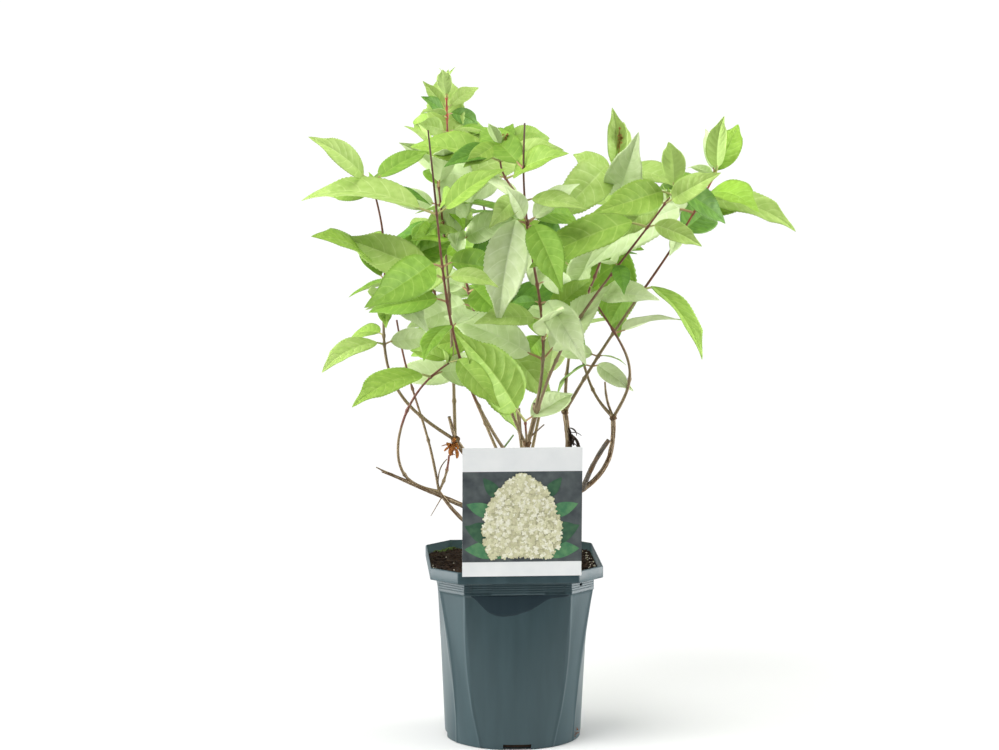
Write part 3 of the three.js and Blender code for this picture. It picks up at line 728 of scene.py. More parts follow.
# %% Card and ink finishes
card_stock = make_finish("white_card", (236, 238, 237), (228, 231, 231), 40, (0.4, 0.5), 500, 0.05)
label_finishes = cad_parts["picture_label"].data.materials
label_finishes.clear()
label_finishes.append(card_stock)
slate_ink = make_finish("slate_ink", (62, 68, 72), (88, 96, 96), 75, (0.35, 0.45), 600, 0.05)
leaf_ink = make_finish("leaf_ink", (66, 118, 84), (92, 142, 96), 160, (0.35, 0.45), 600, 0.05)
deep_ink = make_finish("deep_leaf_ink", (48, 84, 64), (66, 104, 74), 160, (0.35, 0.45), 600, 0.05)
cream_ink = make_finish("cream_ink", (226, 224, 192), (206, 206, 164), 400, (0.4, 0.5), 600, 0.05)
pale_ink = make_finish("pale_cream_ink", (240, 240, 222), (222, 220, 190), 400, (0.4, 0.5), 600, 0.05)
dull_ink = make_finish("dull_cream_ink", (192, 192, 150), (206, 202, 168), 400, (0.4, 0.5), 600, 0.05)
print("finishes so far:", len(bpy.data.materials))


# %% One leaf and one floret on the card
def leaf_patch(foot, heading, length, width, out, number):
    """A pointed leaf drawn on the card."""
    part = np.linspace(0, 1, 14)
    half = width / 2 * np.sin(math.pi * part**0.8) ** 0.9
    way = np.array([math.cos(heading), math.sin(heading)])
    side = np.array([-way[1], way[0]])
    middle = np.asarray(foot) + np.outer(part * length, way)
    edge = half[:, None] * side
    return print_patch(np.concatenate([middle - edge, (middle + edge)[-2:0:-1]]), out, number)


def floret(x, z, radius, out, number):
    """A four-lobed floret: a closed lens whose rim goes in and out four times."""
    turn = scatter.uniform(0, math.pi / 2) + np.linspace(0, 2 * math.pi, 24, endpoint=False)
    away = radius * (0.5 + 0.5 * np.abs(np.cos(2 * (turn - turn[0]))) ** 0.7)
    outline = np.stack([x + away * np.cos(turn), z + away * np.sin(turn)], -1)
    return print_patch(outline, out, number, 0.12)


# %% Flower head on the card
FLORET = {"sizes": (1.9, 3.1), "dull_share": 0.3}


def head_reach(up):
    """Half the flower head's width at a share of its height, as a share of its widest."""
    return (1 - up**2.2) ** 0.6 * (1 - 0.3 * (1 - up) ** 5)


def flower_head(foot, height, width, count):
    """Florets that fill an upright rounded cone over a dull ground, the nearer ones on top."""
    up = np.linspace(0.02, 0.985, 40)
    reach = 0.93 * width / 2 * head_reach(up)
    right = np.stack([foot[0] + reach, foot[1] + height * up], -1)
    left = np.stack([foot[0] - reach, foot[1] + height * up], -1)[::-1]
    parts = [print_patch(np.concatenate([right, left]), LAYERS["ground"], 6, 0.05)]
    for step in range(count):
        up = scatter.uniform(0, 1)
        aside = width / 2 * head_reach(up) * scatter.uniform(-1, 1)
        radius = scatter.uniform(*FLORET["sizes"])
        shade = int(scatter.integers(4, 7)) if step > count * FLORET["dull_share"] else 6
        out = LAYERS["floret"] + LAYERS["pile"] * step / count
        parts.append(floret(foot[0] + aside, foot[1] + height * up, radius, out, shade))
    return parts


# %% Card picture
# Each row: a leaf's foot, its heading, its length and its width.
SPRAY = [
    ((-18, 26), 178, 38, 18), ((18, 26), 2, 38, 18), ((-24, 34), 152, 36, 17), ((24, 34), 28, 36, 17),
    ((-26, 62), 160, 30, 14), ((26, 62), 20, 30, 14), ((-22, 78), 128, 26, 12), ((22, 78), 52, 26, 12),
    ((-8, 22), 180, 40, 9), ((8, 22), 0, 40, 9), ((-30, 48), 176, 24, 11), ((30, 48), 4, 24, 11),
]
HEAD = {"foot": (0, 19), "height": 82, "width": 84, "count": 1150}

picture = [panel_box(*PANEL, CARD["width"], LAYERS["panel"], 0)]
for number, (foot, heading, length, width) in enumerate(SPRAY):
    ink = 1 + (number // 2) % 2
    out = LAYERS["leaf"] + LAYERS["next leaf"] * number
    picture.append(leaf_patch(foot, math.radians(heading), length, width, out, ink))
picture += flower_head(**HEAD)
inks = [slate_ink, leaf_ink, deep_ink, card_stock, cream_ink, pale_ink, dull_ink]
make_piece("card_print", picture, inks, smooth=False, place=to_metres)

# %% [markdown]
# Limbs and canes
# The plant's frame is the same table as the solids': each limb runs from its foot to its tip in a
# straight line, plus a bow (half a wave) and a sway (a whole wave). Writing it again here, instead of
# reading points off the solids, lets each limb be drawn as finely as its bark needs.

# %% Table of limbs
TRUNK = (8, 2, 205)
LOW_LEFT = (-73, -30, 252)
LEFT_KNUCKLE = (-57, -20, 302)
MIDDLE_FORK = (14, -5, 296)
RIGHT_KNUCKLE = (52, 15, 325)
OUTER_KNUCKLE = (100, 10, 320)

# name: foot, tip, bow, sway, (radius at the foot, radius at the tip)
OLD_WOOD = {
    "woody_crown": ((7, 5, SOIL_TOP - 6), TRUNK, (0, 0, 0), (0, 0, 0), (10, 6.5)),
    "old_limb_cut_left": (TRUNK, (-128, -50, 276), (0, 0, 1), (0, 0, 0), (3.2, 1.5)),
    "old_limb_low_left": (TRUNK, LOW_LEFT, (-4, -6, -16), (0, 0, 0), (2.2, 1.7)),
    "old_limb_left": (TRUNK, LEFT_KNUCKLE, (2, 4, -3), (0, 0, 0), (3.2, 2.8)),
    "old_limb_middle": (TRUNK, MIDDLE_FORK, (-2, 3, 0), (0, 0, 0), (4, 3.4)),
    "old_limb_right": (TRUNK, RIGHT_KNUCKLE, (20, 0, -4), (0, 0, 0), (3.2, 2.6)),
    "old_limb_outer_right": (TRUNK, OUTER_KNUCKLE, (12, -6, -16), (-9, 0, 3), (2.9, 2.2)),
    "cut_stub_right": ((69.5, 0, 248.5), (95, -7, 300), (-2, 0, 1), (0, 0, 0), (2.6, 2.2)),
    "cut_stub_left": (LEFT_KNUCKLE, (-63, -24, 326), (0, 0, 0), (0, 0, 0), (1.7, 1.5)),
    "budded_stub": (MIDDLE_FORK, (21, -14, 338), (2, 0, 0), (0, 0, 0), (1.8, 1.4)),
    "dead_twig_right": (OUTER_KNUCKLE, (92, 22, 354), (-2, 0, 0), (0, 0, 0), (1.4, 1)),
}
KNOBS = {LEFT_KNUCKLE: 4.6, MIDDLE_FORK: 4.4, RIGHT_KNUCKLE: 3.6, OUTER_KNUCKLE: 3.6}

# name: foot, tip, bow, sway, share of the cane below its first leaves
CANES = {
    "left": (LEFT_KNUCKLE, (-138, -45, 562), (-29, -5, -15), (-13, 0, -7), 0.41),
    "left_inner": (LEFT_KNUCKLE, (-78, 25, 587), (4, 12, 0), (0, 0, 0), 0.66),
    "front_left": ((10, -1, 262), (-81, -100, 612), (-26, -14, -6), (-4, 0, -4), 0.42),
    "tall": ((13, -3, 293), (-67, 90, 662), (-24, 12, -8), (0, 0, 0), 0.25),
    "middle": (MIDDLE_FORK, (11, -50, 616), (11, -12, 2), (8, 0, 0), 0.21),
    "front_right": ((15, -4, 294), (155, -60, 551), (-15, -10, 11), (-3, 0, 2), 0.67),
    "back_right": (RIGHT_KNUCKLE, (104, 90, 566), (0, 10, -2), (-7, 0, 1), 0.6),
    "right": (RIGHT_KNUCKLE, (201, 20, 563), (2, 8, 0), (-2, 0, 1), 0.2),
    "bowed_right": (OUTER_KNUCKLE, (78, -10, 443), (23, 0, 3), (4, 0, 0), 0.92),
    "thin_right": (OUTER_KNUCKLE, (48, 70, 412), (-1, 0, -2), (-3, 0, -2), 0.9),
    "low_left": (LOW_LEFT, (-59, -75, 388), (-45, 0, -8), (-4, 0, -11), 0.78),
    "back": ((11, 0, 270), (-33, 130, 538), (4, 14, 0), (0, 0, 0), 0.36),
    "back_left": ((9, 2, 232), (-98, 128, 486), (-6, 16, 0), (0, 0, 0), 0.42),
    "back_right_low": ((10, 2, 244), (66, 160, 470), (0, 22, 0), (0, 0, 0), 0.42),
}
CANE_RADIUS = (1.75, 0.85)
BARE_CANES = {
    "cane_low_left_bare": (LOW_LEFT, (-115, 0, 419), (0, 0, 0), (2, 0, 0), (1.4, 0.9)),
    "cane_low_left_short": (LOW_LEFT, (-63, -28, 288), (2, 0, 0), (0, 0, 0), (1.3, 1)),
}
LOW_SHOOT = (MIDDLE_FORK, (12, -24, 322), (0, -3, 0), (0, 0, 0), (1.4, 1))
print("limbs:", len(OLD_WOOD), "old,", len(CANES) + len(BARE_CANES), "canes")


# %% Limb paths
def limb_path(foot, tip, bow=(0, 0, 0), sway=(0, 0, 0)):
    """A limb's middle line, as a function of the share of the way up it."""
    foot, tip, bow, sway = (np.asarray(value, float) for value in (foot, tip, bow, sway))

    def path(part):
        part = np.asarray(part, float)[..., None]
        bent = bow * np.sin(math.pi * part) + sway * np.sin(2 * math.pi * part)
        return foot + (tip - foot) * part + bent

    return path


# The middle cane carries one side shoot.
SIDE_AT = 0.73
side_foot = limb_path(*CANES["middle"][:4])(SIDE_AT)
SIDE_SHOOT = (side_foot, side_foot + (-24, 36, 60), (-6, 0, -2), (2, 0, 1), (1.2, 0.9))
print("side shoot's foot:", side_foot.round(1))

# %% [markdown]
# Table of leaves
# Hydrangea leaves stand in opposite pairs. Each row is one pair: the two leaves' colours, how far up
# the shoot it is, and where its first leaf heads. Then each leaf's climb, its length and how far its
# face is turned to the front follow. A row with one colour has lost its other leaf. The colours are y
# for young, l for lime, b for bright, g for grass green, d for deep and p for pale green.

# %% Table of leaf pairs
# The letters are dealt leaf by leaf: lime, bright and pale carry painted light and deep carries painted
# shade, besides each leaf's own green.
LEAVES = {
    "left": [
        ("lp", 0.44, 215, -15, 75, 17, 3, 60, 80), ("b", 0.47, 129, -6, 55, 40),
        ("bl", 0.56, 275, -20, 40, 35, 12, 66, 71), ("gp", 0.65, 139, 36, 47, 24, -39, 74, 70),
        ("bg", 0.69, 225, 23, 100, 34, 13, 94, 65), ("b", 0.768, 112, -4, 62, 44),
        ("db", 0.942, 349, -8, 56, 29, -2, 49, 68), ("lg", 0.99, 218, 33, 85, 53, 22, 76, 29),
    ],
    "left_inner": [
        ("yl", 0.688, 246, 5, 72, 62, 25, 72, 74), ("gp", 0.74, 244, -16, 66, -7, -35, 64, 55),
        ("pg", 0.8, 187, 12, 62, 77, -12, 88, 5), ("b", 0.806, 284, 14, 63, 74),
        ("pg", 0.866, 276, 38, 72, -15, 16, 61, 74), ("b", 0.924, 134, 60, 53, -27),
        ("ll", 0.99, 204, 41, 41, 23, 18, 61, 74),
    ],
    "front_left": [
        ("gp", 0.468, 246, -19, 70, -15, 9, 60, 38), ("g", 0.536, 180, -6, 77, 56),
        ("ll", 0.598, 351, -6, 54, 47, 21, 108, 75), ("gg", 0.628, 227, -16, 109, 77, -7, 90, 65),
        ("lb", 0.768, 170, 9, 134, 17, 36, 80, 41),
    ],
    "tall": [
        ("lb", 0.288, 347, -40, 96, 59, -12, 79, 74), ("pb", 0.384, 219, -10, 84, 75, 4, 62, 50),
        ("gp", 0.424, 302, -17, 93, 62, 9, 80, 74), ("dl", 0.508, 342, 16, 80, 71, -32, 72, 74),
        ("pd", 0.56, 335, 22, 76, 73, 0, 74, 53), ("lg", 0.61, 250, -4, 84, 73, -2, 106, 5),
        ("yd", 0.67, 283, -23, 64, 44, 10, 45, 50), ("lp", 0.71, 41, 12, 106, 67, 34, 80, -29),
        ("pl", 0.782, 277, -55, 104, 68, 59, 100, 71), ("gb", 0.834, 312, 3, 66, 23, 13, 59, 74),
        ("lb", 0.84, 229, 12, 48, 76, 0, 64, 75), ("l", 0.878, 239, 8, 50, 5),
        ("dd", 0.885, 224, 30, 40, 54, -16, 48, 73), ("ll", 0.903, 28, 29, 42, 55, 46, 38, 78),
        ("ll", 0.928, 263, 46, 42, -18, 64, 32, 30),
    ],
    "middle": [
        ("pp", 0.268, 174, 23, 107, 74, 50, 98, 51), ("gp", 0.328, 103, -18, 58, 80, 30, 86, 38),
        ("lb", 0.39, 208, 2, 74, 44, 34, 70, 71), ("dp", 0.442, 137, -4, 40, 71, -41, 80, 60),
        ("p", 0.5, 48, -8, 58, 72), ("p", 0.616, 77, -46, 64, 50),
        ("d", 0.64, 60, 0, 76, 67), ("g", 0.678, 302, -43, 84, 70),
        ("pp", 0.69, 205, -72, 100, 50, 34, 68, 34), ("gp", 0.694, 55, -3, 95, 62, 46, 52, 57),
        ("pl", 0.76, 155, 20, 70, 14, -4, 66, 41), ("g", 0.86, 120, 24, 91, 56),
    ],
    "side": [
        ("l", 0.156, 233, -24, 55, 80), ("bp", 0.532, 317, 20, 85, 50, -27, 52, 74),
        ("lb", 0.8, 340, 12, 66, 51, 8, 96, 54), ("db", 0.916, 210, -10, 64, 42, 12, 58, 68),
        ("pg", 0.98, 240, 47, 35, -15, 44, 34, 56), ("bb", 0.988, 45, 5, 69, 62, -18, 54, 65),
    ],
    "front_right": [
        ("dp", 0.684, 278, -30, 44, 38, 0, 53, 74), ("bl", 0.85, 175, -19, 122, 41, -18, 56, 65),
        ("ll", 0.948, 146, -35, 62, 71, 29, 68, 60), ("bd", 0.986, 217, -7, 95, 76, -24, 77, 56),
        ("yb", 1, 258, 57, 62, 0, 48, 48, 47),
    ],
    "back_right": [
        ("pg", 0.652, 127, -41, 76, 74, 8, 62, 56), ("g", 0.68, 60, -74, 104, 50),
        ("lp", 0.832, 109, 8, 76, 71, 50, 100, 65), ("ll", 0.97, 143, 18, 56, 65, -8, 78, 34),
        ("lb", 0.982, 229, -24, 112, 76, -16, 64, 44), ("ll", 0.984, 254, 78, 64, 15, 53, 60, 74),
    ],
    "right": [
        ("pd", 0.184, 338, -26, 49, 74, -35, 48, 5), ("gp", 0.226, 348, -13, 30, -10, 8, 48, 57),
        ("p", 0.322, 329, 13, 83, -19), ("bg", 0.51, 310, -32, 107, -15, -39, 66, 61),
        ("dp", 0.74, 69, 12, 98, 74, -27, 36, 70), ("bp", 0.836, 16, 12, 72, 72, -25, 126, 49),
        ("lp", 0.872, 350, -12, 100, 34, -7, 78, 74), ("yg", 0.908, 300, -4, 94, 50, 5, 84, 62),
        ("yp", 0.982, 51, 51, 68, 69, 17, 47, -22), ("yp", 0.992, 292, 74, 62, 0, 64, 50, 9),
    ],
    "bowed_right": [
        ("dg", 0.956, 200, -27, 62, 47, 36, 39, 74), ("pl", 0.992, 327, 3, 75, 52, 14, 43, 71),
    ],
    "thin_right": [
        ("gp", 0.98, 329, -58, 50, 68, 14, 50, 74),
    ],
    "low_left": [
        ("bp", 0.838, 219, -12, 97, 32, 0, 92, 75), ("bb", 0.99, 330, -36, 67, 74, 10, 47, 56),
    ],
    "low_front": [
        ("bp", 0.978, 225, 46, 134, 62, 18, 72, 46),
    ],
    "back": [
        ("d", 0.4, 99, -10, 70, 50), ("dl", 0.54, 4, 5, 42, 50, 8, 60, 50),
        ("gd", 0.592, 135, -5, 85, 26, 0, 90, 50), ("by", 0.772, 40, 8, 90, 2, 4, 82, 75),
        ("g", 0.868, 159, 10, 80, -22), ("bl", 0.97, 114, 22, 60, 2, 33, 50, 2),
    ],
    "back_left": [
        ("pb", 0.468, 184, 2, 80, 50, -45, 82, 38), ("bb", 0.624, 115, 0, 90, 50, 42, 38, 75),
        ("b", 0.708, 174, 4, 80, -10), ("gp", 0.8, 195, 1, 90, -10, -4, 48, 75),
        ("dg", 0.92, 85, 10, 70, 2, -37, 82, 75), ("lb", 0.96, 85, 25, 75, 2, 20, 60, 2),
    ],
    "back_right_low": [
        ("dl", 0.452, 104, -8, 85, 50, 46, 82, -12), ("gb", 0.632, 29, 8, 90, -10, 29, 48, 75),
        ("b", 0.75, 76, 0, 80, 2), ("gl", 0.856, 101, 20, 85, 14, -9, 82, 0),
        ("db", 0.932, 350, 14, 70, 2, 42, 82, 50), ("lb", 0.98, 24, 22, 75, 14, 22, 65, -10),
    ],
}
print("leaf pairs:", sum(map(len, LEAVES.values())), "on", len(LEAVES), "shoots")

# %% [markdown]
# Bark
# Old hydrangea wood is grey-tan and fibrous, and peels in lengthwise flakes. Young canes are smooth
# tan, turning red-brown towards the leaves. An image would be the usual way to paint this, but the
# patches are simple: each limb is a tube with real lengthwise ridges, and its faces are shared out
# between a few plain barks by slow random waves. The relief then shows in outline too.

# %% Bark tube
def unit(vectors):
    """Vectors scaled to length one."""
    return vectors / np.linalg.norm(vectors, axis=-1, keepdims=True)


JOINT = {"swell": 0.75, "width": 1.7}


def bark_tube(path, start, end, radius_at, sides, ridge, finish_at, nodes=(), step=1.8, cut=None):
    """A closed tube along a path, with lengthwise ridges and a swelling at each leaf joint."""
    length = np.linalg.norm(path(end) - path(start))
    count = max(4, int(length / step)) + 1
    part = np.linspace(start, end, count)
    middle = path(part)
    way = unit(path(part + 0.01) - path(part - 0.01))
    steep = abs(unit(path(end) - path(start))[2]) > 0.5
    reference = np.array([0, 1, 0] if steep else [0, 0, 1], float)
    first = unit(reference - way * (way @ reference)[:, None])
    second = np.cross(way, first)
    radius = radius_at(part)
    full = np.linalg.norm(path(1.0) - path(0.0))
    for node in nodes:
        radius = radius + JOINT["swell"] * np.exp(-(((part - node) * full / JOINT["width"]) ** 2))
    turn = 2 * math.pi * np.arange(sides) / sides
    bark = 1 + ridge * ripple(count, sides, 7) + 0.5 * ridge * ripple(count, sides, 2)
    around = first[:, None] * np.cos(turn)[:, None] + second[:, None] * np.sin(turn)[:, None]
    points = middle[:, None] + around * (radius[:, None] * bark)[..., None]
    points, faces = loft(list(points))
    numbers = finish_at(np.repeat(part[:-1], sides), ripple(count - 1, sides, 9).ravel())
    faces[0] = (faces[0][0], numbers)
    faces[1] = (faces[1][0], numbers[0])
    faces[2] = (faces[2][0], numbers[-1] if cut is None else cut)
    return points, faces


def taper(foot, tip):
    """A radius that goes evenly from one value to another."""
    return lambda part: foot + (tip - foot) * part


# %% Bark finishes
FIBRE = (1, 1, 0.18)
OLD = {"drift_scale": 900, "dull": (0.8, 0.95), "grain_scale": 2200, "stretch": FIBRE, "gloss": 0.2}
NEW = {"drift_scale": 1200, "grain_scale": 2600, "stretch": FIBRE, "gloss": 0.4}
RED = {**NEW, "dull": (0.5, 0.65), "grain": 0.3}
STALK = {"drift_scale": 1400, "dull": (0.45, 0.6), "grain_scale": 2600, "grain": 0.2}
grey_bark = make_finish("grey_old_bark", (148, 132, 110), (122, 104, 82), grain=0.7, **OLD)
brown_bark = make_finish("brown_old_bark", (112, 88, 62), (90, 70, 50), grain=0.7, **OLD)
pale_flake = make_finish("pale_bark_flake", (184, 168, 142), (160, 142, 114), grain=0.5, **OLD)
cut_wood = make_finish("grey_cut_wood", (70, 64, 58), (104, 96, 84), 1500, (0.8, 0.95), 2500, 0.5)
tan_cane = make_finish("tan_cane_bark", (138, 120, 90), (118, 100, 72), dull=(0.55, 0.7), grain=0.35, **NEW)
red_cane = make_finish("red_brown_cane_bark", (124, 74, 56), (98, 58, 46), **RED)
dark_cane = make_finish("dark_cane_bark", (74, 50, 42), (92, 62, 48), **RED)
red_tip = make_finish("red_shoot_tip", (172, 78, 50), (140, 62, 46), **RED)
stalk_pink = make_finish("pink_leaf_stalk", (186, 132, 104), (150, 142, 84), **STALK)
stalk_green = make_finish("green_leaf_stalk", (156, 176, 96), (170, 150, 96), **STALK)
print("finishes so far:", len(bpy.data.materials))

# %% [markdown]
# Old wood
# The old limbs are drawn with sixteen sides and strong ridges, and the crown with thirty. A knuckle is
# the scar of years of pruning: an uneven ball where several canes spring. Here it is a lumpy sphere
# sunk over the joint, with smaller lumps round it.

# %% Where each bark goes
def old_bark_at(part, wave):
    """Grey bark, with brown where the waves are low and pale flakes where they are high."""
    return np.where(wave < -0.25, 1, np.where(wave > 0.5, 2, 0))


def dead_bark_at(part, wave):
    """Dark weathered bark, with brown where the waves are high."""
    return np.where(wave > 0.3, 1, 3)


def ball(point, radius, number, roughness=0.2, sides=12, rows=9):
    """An uneven closed ball round a point."""
    points, quads, fans = lump(radius, roughness, sides, rows)
    return points + point, [(quads, number), (fans, number)]


def flare(radius, more):
    """The crown's radius, widening towards the soil."""
    return lambda part: radius[0] + (radius[1] - radius[0]) * part + more * (1 - part) ** 3


# %% Old wood
CROWN = {"more": 6, "start": 0.14, "sides": 30, "lump": ((8, 2, 204), 8.2)}
KNUCKLE_LUMPS = 7
OLD_SIDES, OLD_RIDGE, OLD_STEP = 16, 0.13, 1.3

wood = []
for name, (foot, tip, bow, sway, radius) in OLD_WOOD.items():
    crown = name == "woody_crown"
    radius_at = flare(radius, CROWN["more"]) if crown else taper(*radius)
    sides = CROWN["sides"] if crown else OLD_SIDES
    cut = 3 if "cut" in name or "stub" in name else None
    path = limb_path(foot, tip, bow, sway)
    bark_at = dead_bark_at if name == "cut_stub_right" else old_bark_at
    foot_at = CROWN["start"] if crown else 0
    wood.append(bark_tube(path, foot_at, 1, radius_at, sides, OLD_RIDGE, bark_at, (), OLD_STEP, cut))
for point, radius in KNOBS.items():
    wood.append(ball(np.asarray(point, float), radius * 0.95, 1))
    for _ in range(KNUCKLE_LUMPS):
        turn, climb = scatter.uniform(0, 2 * math.pi), scatter.uniform(-0.6, 1.2)
        level = math.cos(climb)
        off = np.array([math.cos(turn) * level, math.sin(turn) * level, math.sin(climb)])
        size, finish = radius * scatter.uniform(0.25, 0.45), int(scatter.integers(3))
        wood.append(ball(point + off * radius * 0.75, size, finish, 0.3, 8, 6))
wood.append(ball(np.array(CROWN["lump"][0], float), CROWN["lump"][1], 1, 0.16, 20, 13))
make_piece("old_wood_bark", wood, [grey_bark, brown_bark, pale_flake, cut_wood], list(OLD_WOOD))

# %% [markdown]
# Canes and shoots
# A cane is one growth, but it is drawn in two pieces, because the solids are two: the bare part below,
# and the shoot that carries the leaves. Both use the same path and taper, so they meet. The bark turns
# from tan to red-brown on the way up, patch by patch. Three canes end nearly black, and two bright red.

# %% Cane bark
# How far up the bark turns red, dark or bright red.
RED_FROM = {"middle": 0.35, "front_left": 0.3, "tall": 0.3, "back_right": 0.35, "right": 0.5}
DARK_FROM = {"front_left": 0.82, "back_right": 0.8, "middle": 0.85}
BRIGHT_FROM = {"tall": 0.8, "right": 0.84}


def cane_bark_at(name):
    """Tan below, red-brown above, and dark or bright red at the very top, with ragged borders."""
    red, dark, bright = RED_FROM.get(name, 0.6), DARK_FROM.get(name, 1.2), BRIGHT_FROM.get(name, 1.2)

    def finish_at(part, wave):
        ragged = part + 0.12 * wave
        tan_or_red = np.where(ragged > red, 1, 0)
        return np.where(ragged > bright, 3, np.where(ragged > dark, 2, tan_or_red))

    return finish_at


def joints_of(rows):
    """Where a shoot's leaf pairs stand."""
    return [row[1] for row in rows]


# %% Cane pieces
# These end in a bare point, and the others a little below their youngest leaves.
BARE_TIPS = ("middle", "front_left", "thin_right", "low_front")
HIDDEN_TIP = 0.975
FIRST_JOINT, JOINT_STEP = 38, 52
BARE_RIDGE, SHOOT_RIDGE = 0.07, 0.05
CANE_SIDES, SIDE_SHOOT_SIDES = 12, 10

cane_finishes = [tan_cane, red_cane, dark_cane, red_tip]
cane_radius = taper(*CANE_RADIUS)
bare_parts, shoot_parts = [], []
for name, (foot, tip, bow, sway, bare) in CANES.items():
    path = limb_path(foot, tip, bow, sway)
    length = np.linalg.norm(path(1.0) - path(0.0))
    old_joints = np.arange(FIRST_JOINT / length, bare, JOINT_STEP / length)
    bark_at, joints = cane_bark_at(name), joints_of(LEAVES[name])
    bare_parts.append(bark_tube(path, 0, bare, cane_radius, CANE_SIDES, BARE_RIDGE, bark_at, old_joints))
    top = 1 if name in BARE_TIPS else HIDDEN_TIP
    shoot_parts.append(bark_tube(path, bare, top, cane_radius, CANE_SIDES, SHOOT_RIDGE, bark_at, joints))
for name, (*line, radius) in BARE_CANES.items():
    path, radius_at, bark_at = limb_path(*line), taper(*radius), cane_bark_at(name)
    bare_parts.append(bark_tube(path, 0, 1, radius_at, CANE_SIDES, BARE_RIDGE, bark_at, (0.3, 0.6)))
side_path, low_path = limb_path(*SIDE_SHOOT[:4]), limb_path(*LOW_SHOOT[:4])
for path, radius, name, joints in (
    (side_path, SIDE_SHOOT[4], "middle", (0.54, 0.98)), (low_path, LOW_SHOOT[4], "low", (0.9,)),
):
    radius_at, bark_at = taper(*radius), cane_bark_at(name)
    shoot_parts.append(bark_tube(path, 0, 1, radius_at, SIDE_SHOOT_SIDES, SHOOT_RIDGE, bark_at, joints))
cane_nodes = [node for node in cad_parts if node.startswith("cane_")]
mass_nodes = [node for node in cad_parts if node.startswith("foliage_")]
make_piece("bare_cane_bark", bare_parts, cane_finishes, cane_nodes)
make_piece("leafy_shoot_stems", shoot_parts, cane_finishes, mass_nodes)

# %% [markdown]
# One leaf
# A hydrangea leaf is a pointed oval, toothed along its edge, with seven or eight pairs of curved
# veins sunk into its face and a midrib that folds it a little. A flat card with a picture of veins
# would look right only from the front. Here the grid of the blade itself follows the veins: its
# cross lines sweep forward towards the edge, so that every eighth strip of faces is a vein. The
# strips get their own paler finish, and the panels between them swell.

# %% Leaf rule
LEAF = {"petiole": 0.13, "rise": (20, 60), "width": 0.42, "arch": 0.07, "fold": 15}
ROUNDING, POINTING = 0.62, 1.0
WIDEST = ROUNDING / (ROUNDING + POINTING)
print("a blade is widest at", round(WIDEST, 2), "of its length")


def direction(heading, rise):
    """A unit vector from a heading and a climb in degrees."""
    heading, rise = math.radians(heading), math.radians(rise)
    level = math.cos(rise)
    return np.array([level * math.cos(heading), level * math.sin(heading), math.sin(rise)])


def leaf_frame(node, heading, rise, length, turned):
    """Where a leaf's blade starts, its three directions, its length and its width."""
    stalk_rise = min(max(rise, LEAF["rise"][0]), LEAF["rise"][1])
    base = node + direction(heading, stalk_rise) * LEAF["petiole"] * length
    axis = node + direction(heading, rise) * length - base
    blade_length = np.linalg.norm(axis)
    axis = axis / blade_length
    faced = direction(-90, 90 - turned)
    up = unit(faced - axis * (faced @ axis))
    width = LEAF["width"] * blade_length * scatter.uniform(0.92, 1.06)
    return base, axis, up, np.cross(axis, up), blade_length, width


# %% Blade grid
VEIN_PAIRS = 8
VEIN_STEPS = np.array([0, 0.1, 0.24, 0.38, 0.52, 0.66, 0.8, 0.9])
ROWS = np.append((np.arange(VEIN_PAIRS)[:, None] + VEIN_STEPS).ravel() / VEIN_PAIRS, 1.0)
ROW_PHASE = np.append(np.tile(VEIN_STEPS, VEIN_PAIRS), 0.0)
COLUMNS = np.array([-1, -0.87, -0.62, -0.34, -0.05, 0, 0.05, 0.34, 0.62, 0.87, 1])

blade_faces, blade_rim = shell_faces(len(ROWS), len(COLUMNS))
cross_strip = np.repeat(np.arange(len(ROWS) - 1) % len(VEIN_STEPS) == 0, len(COLUMNS) - 1)
column = np.tile(np.arange(len(COLUMNS) - 1), len(ROWS) - 1)
midrib = np.isin(column, (4, 5))
side_vein = cross_strip & ~np.isin(column, (0, 9))
vein_face = midrib | side_vein
print("faces on a blade:", 2 * len(vein_face) + len(blade_rim), "of them veins:", 2 * vein_face.sum())

# %% Blade outline
TIP = {"from": 0.7, "slimmer": 0.25}


def blade_outline(part):
    """The blade's half width along it, as a share of the widest."""
    plain = (part / WIDEST) ** ROUNDING * ((1 - part) / (1 - WIDEST)) ** POINTING
    return plain * (1 - TIP["slimmer"] * np.sin(math.pi * np.clip((part - TIP["from"]) / 0.3, 0, 1)))


# %% One blade
VEIN_SWEEP = 0.21
BLADE_THICK = 0.35
TOOTH = {"out": 0.05, "forward": 0.012}
SWELL = 0.035
# Between which values each leaf draws its own wave, fold, droop, twist in degrees and bend.
WAVES, WAVINESS = (1.2, 2.6), (0.03, 0.1)
FOLDING, DROOP, TWIST, BEND = (0.35, 1.35), (0.0, 0.09), (-16, 16), (-0.035, 0.035)


